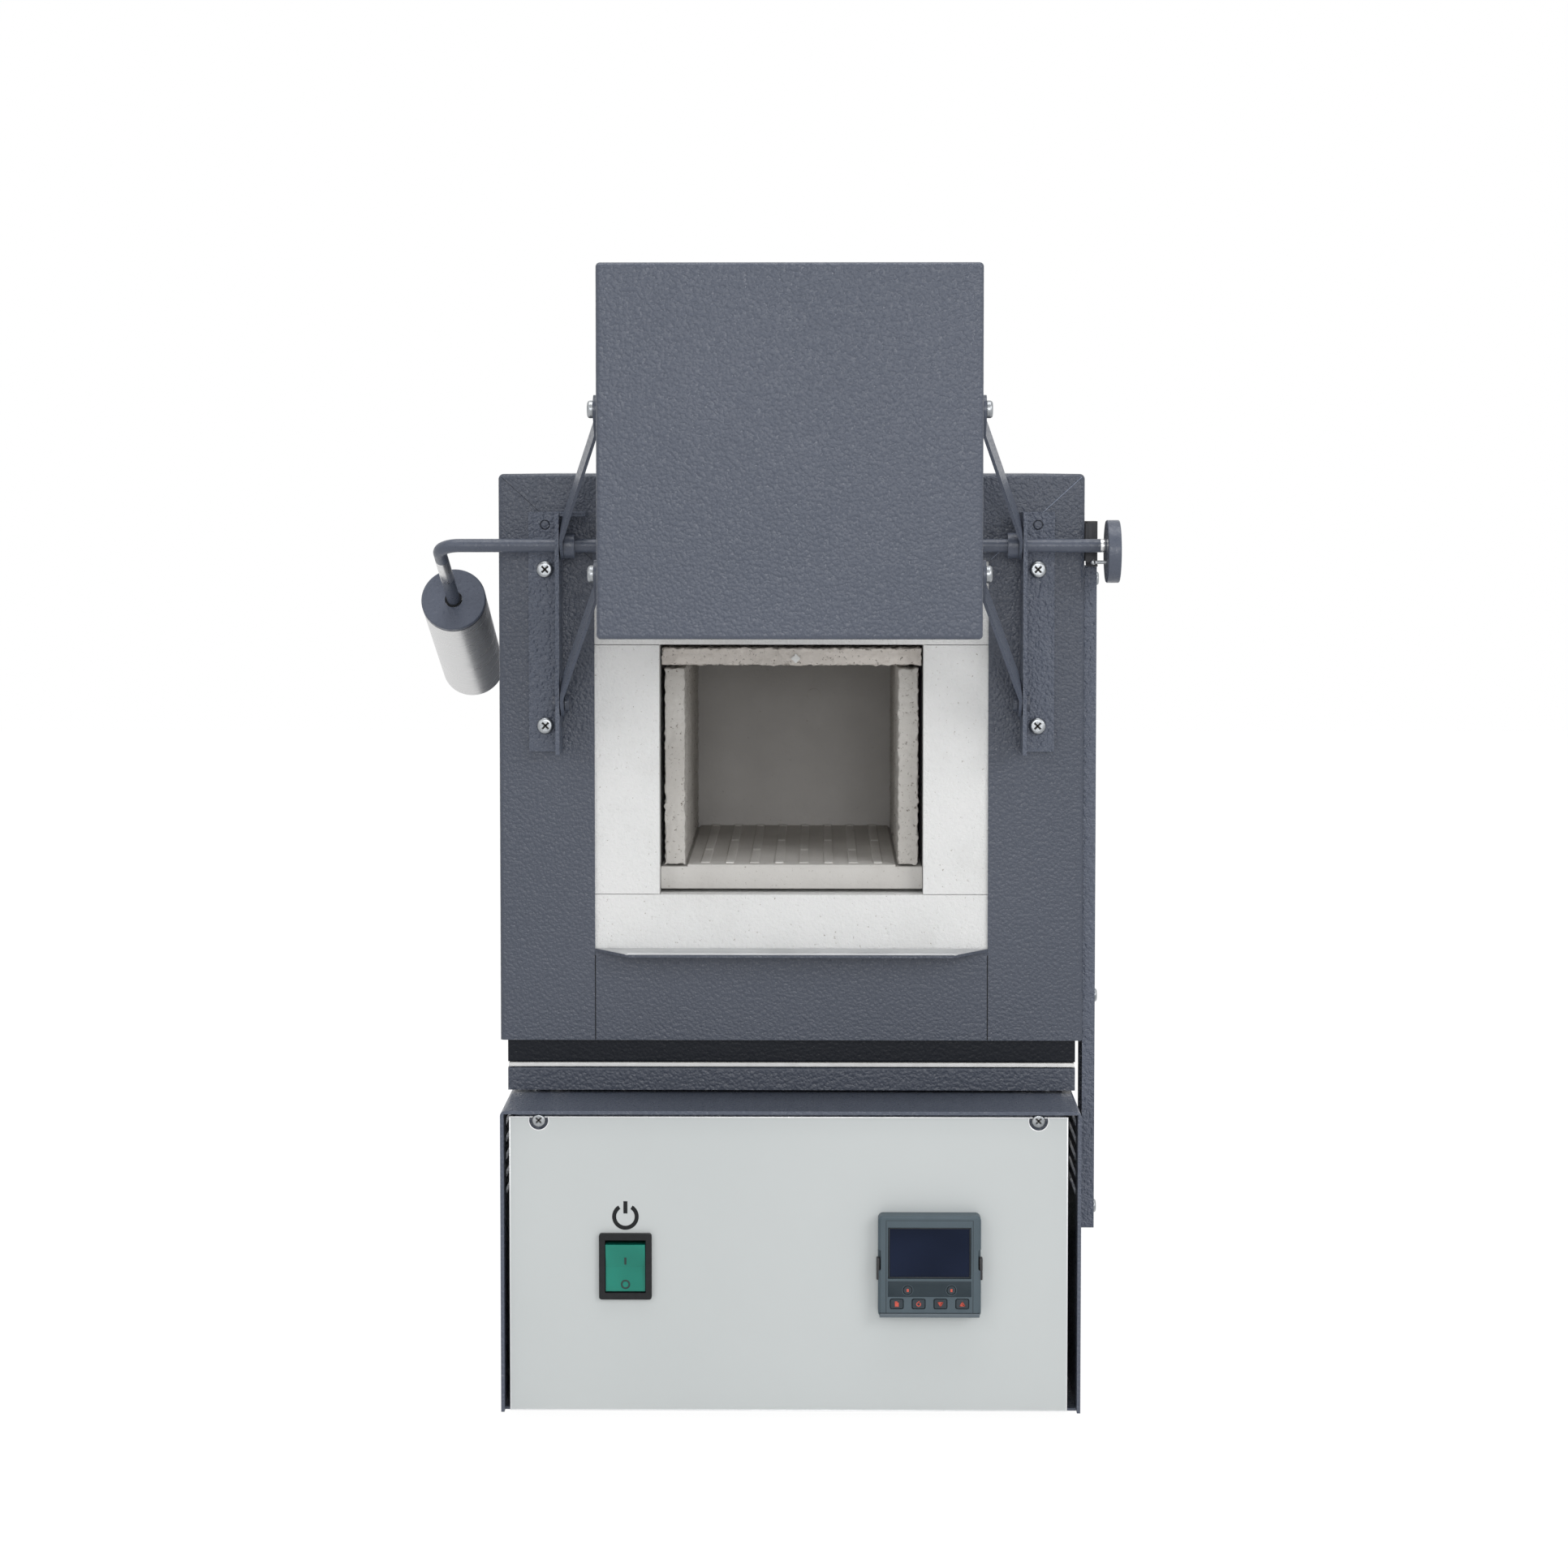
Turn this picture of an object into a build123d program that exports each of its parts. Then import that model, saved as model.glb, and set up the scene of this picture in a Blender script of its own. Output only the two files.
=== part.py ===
from build123d import *

import os
from math import cos, radians, sin

# A bench muffle furnace: a brick-lined chamber over a control base, with a counterbalanced swing-up door.
# Millimetres, +Z up, the front towards -Y. The origin is on the bench under the middle of the whole outline.
# Depths are counted back from the case's front face, so what stands ahead of it has a negative depth.

# ---------------------------------------------------------------- driving dimensions

sheet = 1.2  # case and door sheet
base_sheet = 1.6  # heavier sheet of the base's cover
bend = 2.5  # outside radius of the folds
fit = 0.1  # play between pieces of one assembly that seat on each other
running = 0.05  # radial clearance of a pin that turns in its hole
open_pin = 0.3  # radial clearance of the lower arms on the door's pins

# base
foot_h = 5.0
foot_r = 9.0
foot_inset = 40.0
base_w = 272.0
base_d = 394.0
base_h = 142.7
base_ahead = 44.0  # how far the base reaches ahead of the case
vent_w = 4.0
vent_l = 28.0
vent_pitch = 12.0
louvre_pitch = 8.2
louvre_h = 3.2
louvre_l = 58.0
louvre_rows = 5
louvre_drop = 8.0  # first louvre below the base's top

# front panel, its switch and its controller
panel_w = 262.0
panel_h = 139.6
panel_t = 1.6
panel_setback = 3.0  # behind the cover's front edge
panel_shift = -1.0  # the panel hangs a little to the left in its notches
notch_r = 4.7
panel_screw_x = 117.1
panel_screw_drop = 1.8  # notch centre below the panel's top edge
switch_x = -77.5
switch_up = 68.9  # switch centre above the base's lower edge
switch_w = 24.7
switch_h = 31.2
rocker_w = 18.5
rocker_h = 24.2
rocker_swing = 12.0  # half of the rocker's throw, degrees
controller_x = 65.0
controller_up = 70.6  # controller centre above the base's lower edge
controller_size = 48.0
controller_ahead = 8.0
controller_body = 44.6
controller_body_d = 100.0
window_w = 38.8
window_h = 24.2
window_rise = 6.4  # window centre above the controller's centre
key_w = 5.9
key_h = 4.4
key_pitch = 10.2
key_drop = 17.5
button_r = 2.0
button_drop = 11.0
key_travel = 0.7

# trays between the base and the case
tray_inset = 3.4  # each end inside the case's side
tray_d = 318.0
tray_h = 10.9
tray_gap = 2.7
tray_pad = 1.5
tray_setback = 2.0

# case
body_w = 279.4
body_h = 271.6
body_d = 330.0
opening_w = 188.2
opening_h = 187.0
sill_h = 42.9
lip_reach = 16.0
lip_taper = 17.0
retainer_h = 13.0
retainer_t = 1.5

# lining
brick_d = 64.0
brick_joint = 0.3
sill_brick_rise = 27.2  # brick showing above the sill
jamb_gap = 126.4  # between the jamb bricks
jamb_h = 120.1
plate_t = 11.0
roof_t = 9.6
plate_setback = 10.0  # chamber plates behind the case's front
chamber_w = 101.2
chamber_h = 96.2
chamber_d = 180.0
hearth_rise = 1.7  # hearth plate above the sill brick
rib_count = 8
rib_h = 1.4
rib_w = 7.6
rear_space = 78.0  # wiring space behind the insulation

# door and its linkage
door_w = 173.2
door_h = 168.3
door_pan_d = 46.0
door_t = 50.0
seal_gap = 0.5  # door to bricks when shut
arm_length = 92.0
arm_open = 43.2  # above the horizontal, ahead of the shaft
arm_shut = -79.0
arm_w = 13.0
arm_t = 1.5
arm_play = 0.5  # beside the door and beside the brackets
pivot_spacing = 74.4
pivot_above_door_centre = 19.0
pin_r = 2.5
pin_head_r = 4.0
pin_head_t = 2.6
shaft_r = 3.175
shaft_ahead = 15.0
shaft_below_top = 33.8
shaft_bend = 10.0
collar_r = 6.0
collar_l = 5.0

# brackets
bracket_in = 109.2  # inner face of the outstanding leg, from the centreline
bracket_t = 1.9
bracket_leg = 22.0
bracket_flat = 14.2
bracket_below_top = 18.0  # upper ends below the case's top
bracket_h = 114.4
bracket_screw_out = 8.1  # screw line outside the outstanding leg's inner face
bracket_screw_ups = (12.4, 87.0)
bracket_spare_up = 108.2
stop_reach = 12.0

# counterweight handle, cam and switch on the shaft's ends
handle_beside = 27.3  # handle axis outside the case's left side
handle_droop = 22.5  # below the horizontal, behind the shaft
handle_from_axis = 73.0
handle_l = 103.0
handle_r = 15.9
handle_end_r = 15.7
handle_cap_t = 3.0
handle_hole_r = 4.3
cam_beside = 8.8  # cam face outside the case's right side
cam_t = 6.2
cam_r = 14.8
cam_offset = 2.7
channel_w = 25.0
channel_reach = 6.0
channel_below_base_top = 65.4
channel_below_shaft = 10.4
channel_setback = 4.0
micro_w = 6.4
micro_d = 10.0
micro_h = 19.0
micro_below_shaft = 7.8

# ---------------------------------------------------------------- places worked out from them

base_z = foot_h
base_top = base_z + base_h
lower_tray_z = base_top + tray_pad
upper_tray_z = lower_tray_z + tray_h + tray_gap
body_z = upper_tray_z + tray_h
body_top = body_z + body_h
opening_z = body_z + sill_h
sill_brick_top = opening_z + sill_brick_rise
lintel_z = sill_brick_top + jamb_h
hearth_z = sill_brick_top + hearth_rise + plate_t
roof_z = hearth_z + chamber_h
shaft_z = body_top - shaft_below_top
tray_w = body_w - 2 * tray_inset
switch_z = base_z + switch_up
controller_z = base_z + controller_up
bracket_high = body_top - bracket_below_top
bracket_low = bracket_high - bracket_h
bracket_screw_x = bracket_in + bracket_screw_out
bracket_screw_z = tuple(bracket_low + up for up in bracket_screw_ups)
bracket_spare_z = bracket_low + bracket_spare_up
handle_x = -body_w / 2 - handle_beside
cam_x = body_w / 2 + cam_beside
channel_low = base_top - channel_below_base_top
channel_high = shaft_z - channel_below_shaft
micro_low = shaft_z - micro_below_shaft

arm_rise = arm_length * sin(radians(arm_open))
arm_reach = arm_length * cos(radians(arm_open))
shut_reach = arm_length * cos(radians(arm_shut))
pivot_ahead = shaft_ahead + arm_reach
pivot_z = shaft_z + arm_rise
pivot_to_back = shaft_ahead + shut_reach + sheet + fit - seal_gap
door_back = pivot_to_back - pivot_ahead
door_z = pivot_z - pivot_above_door_centre

arm_at_door = door_w / 2 + arm_play
arm_at_root = bracket_in - arm_play - arm_t

# the origin is under the middle of the outline: handle to cam across, door to base rear along
left_reach = handle_r - handle_x
right_reach = cam_x + cam_t
front_reach = door_t - door_back
inlet_ahead = 2.0  # the mains inlet's rim behind the base
rear_reach = base_d - base_ahead + inlet_ahead
centre_x = (left_reach - right_reach) / 2
front_y = (front_reach - rear_reach) / 2


def facing(depth):
    """Front outlines: x across, height up; extruding forward is positive."""
    return Plane(origin=(centre_x, front_y + depth, 0), x_dir=(1, 0, 0), z_dir=(0, -1, 0))


def across(x):
    """Side outlines: depth back, height up; extruding to the right is positive."""
    return Plane(origin=(centre_x + x, front_y, 0), x_dir=(0, 1, 0), z_dir=(1, 0, 0))


def level(z):
    """Plan outlines: x across, depth back; extruding up is positive."""
    return Plane(origin=(centre_x, front_y, z), x_dir=(1, 0, 0), z_dir=(0, 0, 1))


pieces = {}


def block(name, depth, length, low, high, left, right):
    """A plain rectangular block of lining, from a depth back by a length."""
    with BuildPart() as piece:
        with BuildSketch(facing(depth)):
            with Locations(((left + right) / 2, (low + high) / 2)):
                Rectangle(right - left, high - low)
        extrude(amount=-length)
    pieces[name] = piece


def twin_blocks(name, depth, length, low, high, inner, outer):
    """The same block on both sides of the centreline."""
    with BuildPart() as piece:
        with BuildSketch(facing(depth)):
            for side in (-1, 1):
                with Locations((side * (inner + outer) / 2, (low + high) / 2)):
                    Rectangle(outer - inner, high - low)
        extrude(amount=-length)
    pieces[name] = piece


# ---------------------------------------------------------------- feet and base

foot_x = base_w / 2 - foot_inset
foot_front = foot_inset - base_ahead
foot_rear = base_d - base_ahead - foot_inset
foot_places = [(x, depth) for x in (-foot_x, foot_x) for depth in (foot_front, foot_rear)]

with BuildPart() as feet:
    with BuildSketch(level(0)):
        with Locations(*foot_places):
            Circle(foot_r)
    extrude(amount=foot_h - fit)
    chamfer(feet.faces().sort_by(Axis.Z)[:4].edges(), 1.0)
pieces["feet"] = feet

# The cover is one sheet folded over the top, open at the front, the rear and below.
with BuildPart() as base_wrapper:
    with BuildSketch(facing(-base_ahead)):
        with Locations((0, base_z)):
            Rectangle(base_w, base_h, align=(Align.CENTER, Align.MIN))
    extrude(amount=-base_d)
    fillet(
        base_wrapper.edges().filter_by(Axis.Y).sort_by(Axis.Z)[-2:],
        bend,
    )
    with BuildSketch(facing(-base_ahead)):
        with Locations((0, base_z)):
            Rectangle(base_w - 2 * base_sheet, base_h - base_sheet, align=(Align.CENTER, Align.MIN))
    extrude(amount=-base_d, mode=Mode.SUBTRACT)
    louvre_z = [base_top - louvre_drop - row * louvre_pitch for row in range(louvre_rows)]
    louvre_depths = (louvre_l / 2 + 14.0 - base_ahead, base_d - base_ahead - louvre_l / 2 - 30.0)
    with BuildSketch(across(0)):
        with Locations(*[(depth, z) for depth in louvre_depths for z in louvre_z]):
            SlotOverall(louvre_l, louvre_h)
    extrude(amount=base_w, both=True, mode=Mode.SUBTRACT)
pieces["base_wrapper"] = base_wrapper

# The pan is the base's floor with an upstand behind the front panel and another at the rear.
pan_front = -base_ahead + panel_setback + panel_t + fit
pan_rear = base_d - base_ahead - sheet
upstand_w = panel_w - 6.0
upstand_h = base_h - base_sheet - fit
pan_w = base_w - 2 * base_sheet - 2 * fit
inlet_x = 88.0
inlet_z = base_z + 45.0
inlet_w = 27.4
inlet_h = 19.8
breaker_x = 48.0
breaker_r = 5.6
with BuildPart() as base_pan:
    with BuildSketch(level(base_z)):
        with Locations((0, (pan_front + pan_rear + sheet) / 2)):
            Rectangle(pan_w, pan_rear + sheet - pan_front)
    extrude(amount=sheet)
    with BuildSketch(level(base_z)):
        for depth in (pan_front, pan_rear):
            with Locations((0, depth)):
                Rectangle(upstand_w, sheet, align=(Align.CENTER, Align.MIN))
    extrude(amount=upstand_h)
    with BuildSketch(facing(pan_front - fit)):
        with Locations((switch_x, switch_z)):
            Rectangle(switch_w - 3.0, switch_h - 3.0)
        with Locations((controller_x, controller_z)):
            Rectangle(controller_body + 2 * fit, controller_body + 2 * fit)
        with Locations(*[(panel_shift + s * panel_screw_x, base_z + panel_h - panel_screw_drop) for s in (-1, 1)]):
            Circle(1.8)
    extrude(amount=-sheet - 2 * fit, mode=Mode.SUBTRACT)
    with BuildSketch(facing(pan_rear - fit)):
        with Locations((inlet_x, inlet_z)):
            Rectangle(inlet_w, inlet_h)
        with Locations((breaker_x, inlet_z)):
            Circle(breaker_r)
    extrude(amount=-sheet - 2 * fit, mode=Mode.SUBTRACT)
    with BuildSketch(level(base_z)):
        with Locations((0, base_d / 2 - base_ahead)):
            with GridLocations(vent_pitch, vent_pitch + vent_l, 9, 4):
                SlotOverall(vent_l, vent_w, rotation=90)
    extrude(amount=sheet, mode=Mode.SUBTRACT)
pieces["base_pan"] = base_pan

# ---------------------------------------------------------------- front panel and what it carries

panel_front = -base_ahead + panel_setback
panel_top = base_z + panel_h
screw_places = [(panel_shift + s * panel_screw_x, panel_top - panel_screw_drop) for s in (-1, 1)]

with BuildPart() as front_panel:
    with BuildSketch(facing(panel_front)):
        with Locations((panel_shift, base_z + fit)):
            Rectangle(panel_w, panel_h - fit, align=(Align.CENTER, Align.MIN))
        with Locations(*screw_places):
            Circle(notch_r, mode=Mode.SUBTRACT)
        with Locations((switch_x, switch_z)):
            Rectangle(switch_w - 3.0, switch_h - 3.0, mode=Mode.SUBTRACT)
        with Locations((controller_x, controller_z)):
            Rectangle(controller_body + 2 * fit, controller_body + 2 * fit, mode=Mode.SUBTRACT)
    extrude(amount=-panel_t)
pieces["front_panel"] = front_panel


def pan_head_screws(name, plane, places, head_r, head_t, shank_r, shank_l):
    """Domed screws standing on a plane: the heads ahead of it, the shanks behind."""
    with BuildPart() as piece:
        with BuildSketch(plane):
            with Locations(*places):
                Circle(head_r)
        extrude(amount=head_t)
        outer = piece.faces().sort_by(Axis(plane.origin, plane.z_dir))[-len(places):]
        fillet(outer.edges(), head_t * 0.6)
        with BuildSketch(plane):
            with Locations(*places):
                Circle(shank_r)
        extrude(amount=-shank_l)
    pieces[name] = piece


pan_head_screws("panel_screws", facing(pan_front - fit), screw_places, 3.3, 2.4, 1.7, 6.0)

# The rocker switch: a rimmed housing clipped through the panel, with the rocker on a cross pin in it.
rocker_pin_depth = panel_front + 4.0
with BuildPart() as switch_body:
    with BuildSketch(facing(panel_front - fit)):
        with Locations((switch_x, switch_z)):
            RectangleRounded(switch_w, switch_h, 1.2)
    extrude(amount=2.0)
    with BuildSketch(facing(panel_front - fit)):
        with Locations((switch_x, switch_z)):
            Rectangle(switch_w - 3.2, switch_h - 3.2)
    extrude(amount=-26.0)
    with BuildSketch(facing(panel_front - 2.0 - fit)):
        with Locations((switch_x, switch_z)):
            Rectangle(rocker_w + 0.6, rocker_h + 0.8)
    extrude(amount=-16.0, mode=Mode.SUBTRACT)
    with BuildSketch(facing(panel_front + 25.9 - fit)):
        with Locations((switch_x, switch_z)):
            with GridLocations(0, 9.0, 1, 3):
                Rectangle(6.3, 0.8)
    extrude(amount=-8.0)
pieces["switch_body"] = switch_body

# The rocker's face is two flats meeting in a shallow valley, turned so that its lower half is pressed in.
rocker_front = 6.2
rocker_valley = 4.6
with BuildPart() as rocker:
    with BuildSketch(across(switch_x)) as rocker_outline:
        with BuildLine():
            Polyline(
                (rocker_pin_depth + 3.0, switch_z - rocker_h / 2 + 2.0),
                (rocker_pin_depth - rocker_front, switch_z - rocker_h / 2 + 0.8),
                (rocker_pin_depth - rocker_valley, switch_z),
                (rocker_pin_depth - rocker_front, switch_z + rocker_h / 2 - 0.8),
                (rocker_pin_depth + 3.0, switch_z + rocker_h / 2 - 2.0),
                close=True,
            )
        make_face()
    extrude(amount=rocker_w / 2, both=True)
rocker_axis = Axis((centre_x + switch_x, front_y + rocker_pin_depth, switch_z), (1, 0, 0))
rocker.part = rocker.part.rotate(rocker_axis, rocker_swing / 2)
pieces["rocker"] = rocker

# The controller: a square bezel ahead of the panel, its sleeve behind, a pane and six keys.
controller_face = panel_front - fit - controller_ahead
window_z = controller_z + window_rise
key_z = controller_z - key_drop
button_z = controller_z - button_drop
key_places = [(controller_x + (i - 1.5) * key_pitch, key_z) for i in range(4)]
button_places = [(controller_x + s * key_pitch, button_z) for s in (-1, 1)]
with BuildPart() as controller_bezel:
    with BuildSketch(facing(panel_front - fit)):
        with Locations((controller_x, controller_z)):
            RectangleRounded(controller_size, controller_size, 2.4)
    extrude(amount=controller_ahead)
    chamfer(controller_bezel.faces().sort_by(Axis.Y)[0].edges(), 1.2)
    with BuildSketch(facing(controller_face)):
        with Locations((controller_x, window_z)):
            Rectangle(window_w, window_h)
    extrude(amount=-2.4, mode=Mode.SUBTRACT)
    with BuildSketch(facing(controller_face)):
        with Locations(*key_places):
            RectangleRounded(key_w + 0.6, key_h + 0.6, 1.0)
        with Locations(*button_places):
            Circle(button_r + 0.3)
    extrude(amount=-4.0, mode=Mode.SUBTRACT)
    with BuildSketch(facing(controller_face)):
        with Locations(*[(controller_x + s * controller_size / 2, controller_z + 3.0) for s in (-1, 1)]):
            RectangleRounded(2.6, 10.0, 1.2)
    extrude(amount=-5.0, mode=Mode.SUBTRACT)
pieces["controller_bezel"] = controller_bezel

with BuildPart() as controller_window:
    with BuildSketch(facing(controller_face + 1.1)):
        with Locations((controller_x, window_z)):
            Rectangle(window_w - 2 * fit, window_h - 2 * fit)
    extrude(amount=-1.2)
pieces["controller_window"] = controller_window

with BuildPart() as controller_sleeve:
    with BuildSketch(facing(panel_front)):
        with Locations((controller_x, controller_z)):
            RectangleRounded(controller_body, controller_body, 1.0)
    extrude(amount=-controller_body_d)
    with BuildSketch(facing(panel_front + controller_body_d)):
        with Locations((controller_x, controller_z)):
            with GridLocations(12.0, 5.0, 3, 7):
                Rectangle(7.0, 3.6)
    extrude(amount=-4.0)
pieces["controller_sleeve"] = controller_sleeve


def controller_key(name, place, outline_w, outline_h, corner):
    """A sprung key standing a little out of the bezel, with room behind it for its travel."""
    with BuildPart() as piece:
        with BuildSketch(facing(controller_face + 2.6)):
            with Locations(place):
                RectangleRounded(outline_w, outline_h, corner)
        extrude(amount=2.6 + 0.5)
        chamfer(piece.faces().sort_by(Axis.Y)[0].edges(), 0.3)
    pieces[name] = piece


for key_name, place in zip(("page_key", "scroll_key", "down_key", "up_key"), key_places):
    controller_key(key_name, place, key_w, key_h, 0.8)
for key_name, place in zip(("auto_button", "run_button"), button_places):
    controller_key(key_name, place, 2 * button_r, 2 * button_r, button_r - 0.01)

# ---------------------------------------------------------------- inside and behind the base

with BuildPart() as power_inlet:
    with BuildSketch(facing(pan_rear + sheet + inlet_ahead)):
        with Locations((inlet_x, inlet_z)):
            RectangleRounded(inlet_w + 8.0, inlet_h + 6.0, 3.0)
    extrude(amount=inlet_ahead - fit)
    with BuildSketch(facing(pan_rear + sheet + inlet_ahead)):
        with Locations((inlet_x, inlet_z)):
            RectangleRounded(inlet_w - 2 * fit, inlet_h - 2 * fit, 2.0)
    extrude(amount=22.0)
    with BuildSketch(facing(pan_rear + sheet + inlet_ahead)):
        with Locations((inlet_x, inlet_z)):
            RectangleRounded(24.0, 16.4, 3.0)
    extrude(amount=17.0, mode=Mode.SUBTRACT)
    with BuildSketch(facing(pan_rear + sheet + inlet_ahead - 17.5)):
        with Locations((inlet_x - 7.0, inlet_z - 1.0), (inlet_x, inlet_z + 2.0), (inlet_x + 7.0, inlet_z - 1.0)):
            Rectangle(2.0, 4.0)
    extrude(amount=-14.5)
pieces["power_inlet"] = power_inlet

with BuildPart() as circuit_breaker:
    with BuildSketch(facing(pan_rear + sheet + fit)):
        with Locations((breaker_x, inlet_z)):
            RegularPolygon(8.0, 6)
    extrude(amount=-1.8)
    with BuildSketch(facing(pan_rear + sheet + fit + 1.8)):
        with Locations((breaker_x, inlet_z)):
            Circle(breaker_r - fit)
    extrude(amount=6.0)
    with BuildSketch(facing(pan_rear - fit)):
        with Locations((breaker_x, inlet_z)):
            Rectangle(16.0, 30.0)
    extrude(amount=24.0)
pieces["circuit_breaker"] = circuit_breaker

# The relay that switches the elements, bolted to a finned block on the pan's floor.
sink_x = -60.0
sink_depth = 150.0
sink_w = 80.0
sink_l = 90.0
sink_base = 6.0
fin_h = 34.0
fin_pitch = 8.0
fin_t = 1.6
relay_w = 45.0
relay_l = 58.0
relay_h = 23.0
relay_screw_r = 4.0
terminal_x = 60.0
terminal_depth = 190.0
terminal_w = 72.0
terminal_l = 22.0
terminal_h = 12.0
terminal_pitch = 12.0
pan_floor = base_z + sheet + fit
with BuildPart() as heat_sink:
    with BuildSketch(level(pan_floor)):
        with Locations((sink_x, sink_depth)):
            Rectangle(sink_w, sink_l)
    extrude(amount=sink_base)
    with BuildSketch(level(pan_floor + sink_base)):
        with Locations((sink_x, sink_depth)):
            with GridLocations(fin_pitch, 0, 10, 1):
                Rectangle(fin_t, sink_l)
    extrude(amount=fin_h)
pieces["heat_sink"] = heat_sink

with BuildPart() as solid_state_relay:
    with BuildSketch(level(pan_floor + sink_base + fin_h + fit)):
        with Locations((sink_x, sink_depth)):
            Rectangle(relay_w, relay_l)
    extrude(amount=relay_h)
    with BuildSketch(level(pan_floor + sink_base + fin_h + fit + relay_h)):
        with Locations((sink_x, sink_depth)):
            with GridLocations(relay_w - 19.0, relay_l - 12.0, 2, 2):
                Circle(relay_screw_r)
    extrude(amount=2.5)
pieces["solid_state_relay"] = solid_state_relay

with BuildPart() as terminal_block:
    with BuildSketch(level(pan_floor)):
        with Locations((terminal_x, terminal_depth)):
            Rectangle(terminal_w, terminal_l)
    extrude(amount=terminal_h)
    with BuildSketch(level(pan_floor + terminal_h)):
        with Locations((terminal_x, terminal_depth)):
            with GridLocations(terminal_pitch, 0, 7, 1):
                Rectangle(1.6, terminal_l)
            with GridLocations(terminal_pitch, terminal_l / 2 - 1.0, 6, 2):
                Circle(2.6)
    extrude(amount=5.0)
pieces["terminal_block"] = terminal_block

# ---------------------------------------------------------------- trays under the case

tray_x = tray_w / 2 - 12.0
bolt_places = [(x, depth) for x in (-tray_x, tray_x) for depth in (tray_setback + 14, tray_setback + tray_d - 14)]


def tray(name, low, web_z):
    """A shallow channel as wide as the case, its front and rear walls standing on the web or hanging from it."""
    with BuildPart() as piece:
        with BuildSketch(across(0)):
            with Locations((tray_setback, low)):
                Rectangle(tray_d, tray_h - fit, align=Align.MIN)
            with Locations((tray_setback + sheet, low if web_z > low else low + sheet)):
                Rectangle(tray_d - 2 * sheet, tray_h - fit - sheet, align=Align.MIN, mode=Mode.SUBTRACT)
        extrude(amount=tray_w / 2, both=True)
        front_edges = piece.edges().filter_by(Axis.X).group_by(Axis.Y)[0]
        fillet(front_edges.sort_by(Axis.Z)[-1 if web_z > low else 0], 1.0)
        with BuildSketch(level(web_z - sheet)):
            with Locations(*bolt_places):
                Circle(2.6)
        extrude(amount=3 * sheet, mode=Mode.SUBTRACT)
    pieces[name] = piece


tray("lower_tray", lower_tray_z, lower_tray_z + tray_h - sheet)
tray("upper_tray", upper_tray_z, upper_tray_z)

# Each bolt runs up from the base's cover through both trays, with a pad below and a spacer between them.
with BuildPart() as tray_bolts:
    for x, depth in bolt_places:
        with BuildSketch(Plane(across(x).origin + Vector(0, depth, 0), x_dir=(1, 0, 0), z_dir=(0, -1, 0))):
            with BuildLine():
                Polyline(
                    (0, base_top + fit / 2),
                    (7.0, base_top + fit / 2),
                    (7.0, lower_tray_z - fit / 2),
                    (2.5, lower_tray_z - fit / 2),
                    (2.5, lower_tray_z + tray_h),
                    (6.0, lower_tray_z + tray_h),
                    (6.0, upper_tray_z - fit / 2),
                    (2.5, upper_tray_z - fit / 2),
                    (2.5, upper_tray_z + sheet + fit),
                    (4.6, upper_tray_z + sheet + fit),
                    (4.6, upper_tray_z + sheet + fit + 4.0),
                    (0, upper_tray_z + sheet + fit + 4.0),
                    close=True,
                )
            make_face()
        revolve(axis=Axis((centre_x + x, front_y + depth, 0), (0, 0, 1)))
pieces["tray_bolts"] = tray_bolts

# ---------------------------------------------------------------- case

inside_w = body_w / 2 - sheet - fit
floor_top = body_z + sheet + fit

# One sheet wraps the sides and the top and folds in at the front round the opening.
with BuildPart() as body_case:
    with BuildSketch(facing(0)):
        with Locations((0, body_z)):
            Rectangle(body_w, body_h, align=(Align.CENTER, Align.MIN))
    extrude(amount=-body_d)
    fillet(body_case.edges().filter_by(Axis.Y).sort_by(Axis.Z)[-2:], bend)
    front_edges = body_case.faces().sort_by(Axis.Y)[0].edges()
    fillet(front_edges - front_edges.group_by(Axis.Z)[0], bend - 0.5)
    with BuildSketch(facing(sheet)):
        with Locations((0, body_z)):
            Rectangle(body_w - 2 * sheet, body_h - sheet, align=(Align.CENTER, Align.MIN))
    extrude(amount=-body_d, mode=Mode.SUBTRACT)
    with BuildSketch(facing(0)):
        with Locations((0, body_z)):
            Rectangle(opening_w, opening_z + opening_h - body_z, align=(Align.CENTER, Align.MIN))
    extrude(amount=-sheet, mode=Mode.SUBTRACT)
pieces["body_case"] = body_case

# The sill panel closes the front under the opening and turns forward as a lip with cut-back ends.
with BuildPart() as sill_panel:
    with BuildSketch(across(0)):
        with BuildLine():
            Polyline(
                (0, body_z),
                (sheet, body_z),
                (sheet, opening_z + sheet),
                (-lip_reach, opening_z + 0.4 * sheet),
                (-lip_reach, opening_z - 0.6 * sheet),
                (0, opening_z - 0.2),
                close=True,
            )
        make_face()
    extrude(amount=opening_w / 2 - fit, both=True)
    with BuildSketch(level(opening_z - 2 * sheet)):
        for side in (-1, 1):
            with BuildLine():
                Polyline(
                    (side * opening_w / 2, 0),
                    (side * opening_w / 2, -lip_reach),
                    (side * (opening_w / 2 - lip_taper), -lip_reach),
                    close=True,
                )
            make_face()
    extrude(amount=6 * sheet, mode=Mode.SUBTRACT)
pieces["sill_panel"] = sill_panel

with BuildPart() as body_floor:
    with BuildSketch(level(body_z)):
        with Locations((0, (body_d + sheet) / 2)):
            Rectangle(2 * inside_w, body_d - sheet - 2 * fit)
        with Locations(*bolt_places):
            Circle(5.6, mode=Mode.SUBTRACT)
    extrude(amount=sheet)
pieces["body_floor"] = body_floor

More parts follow.
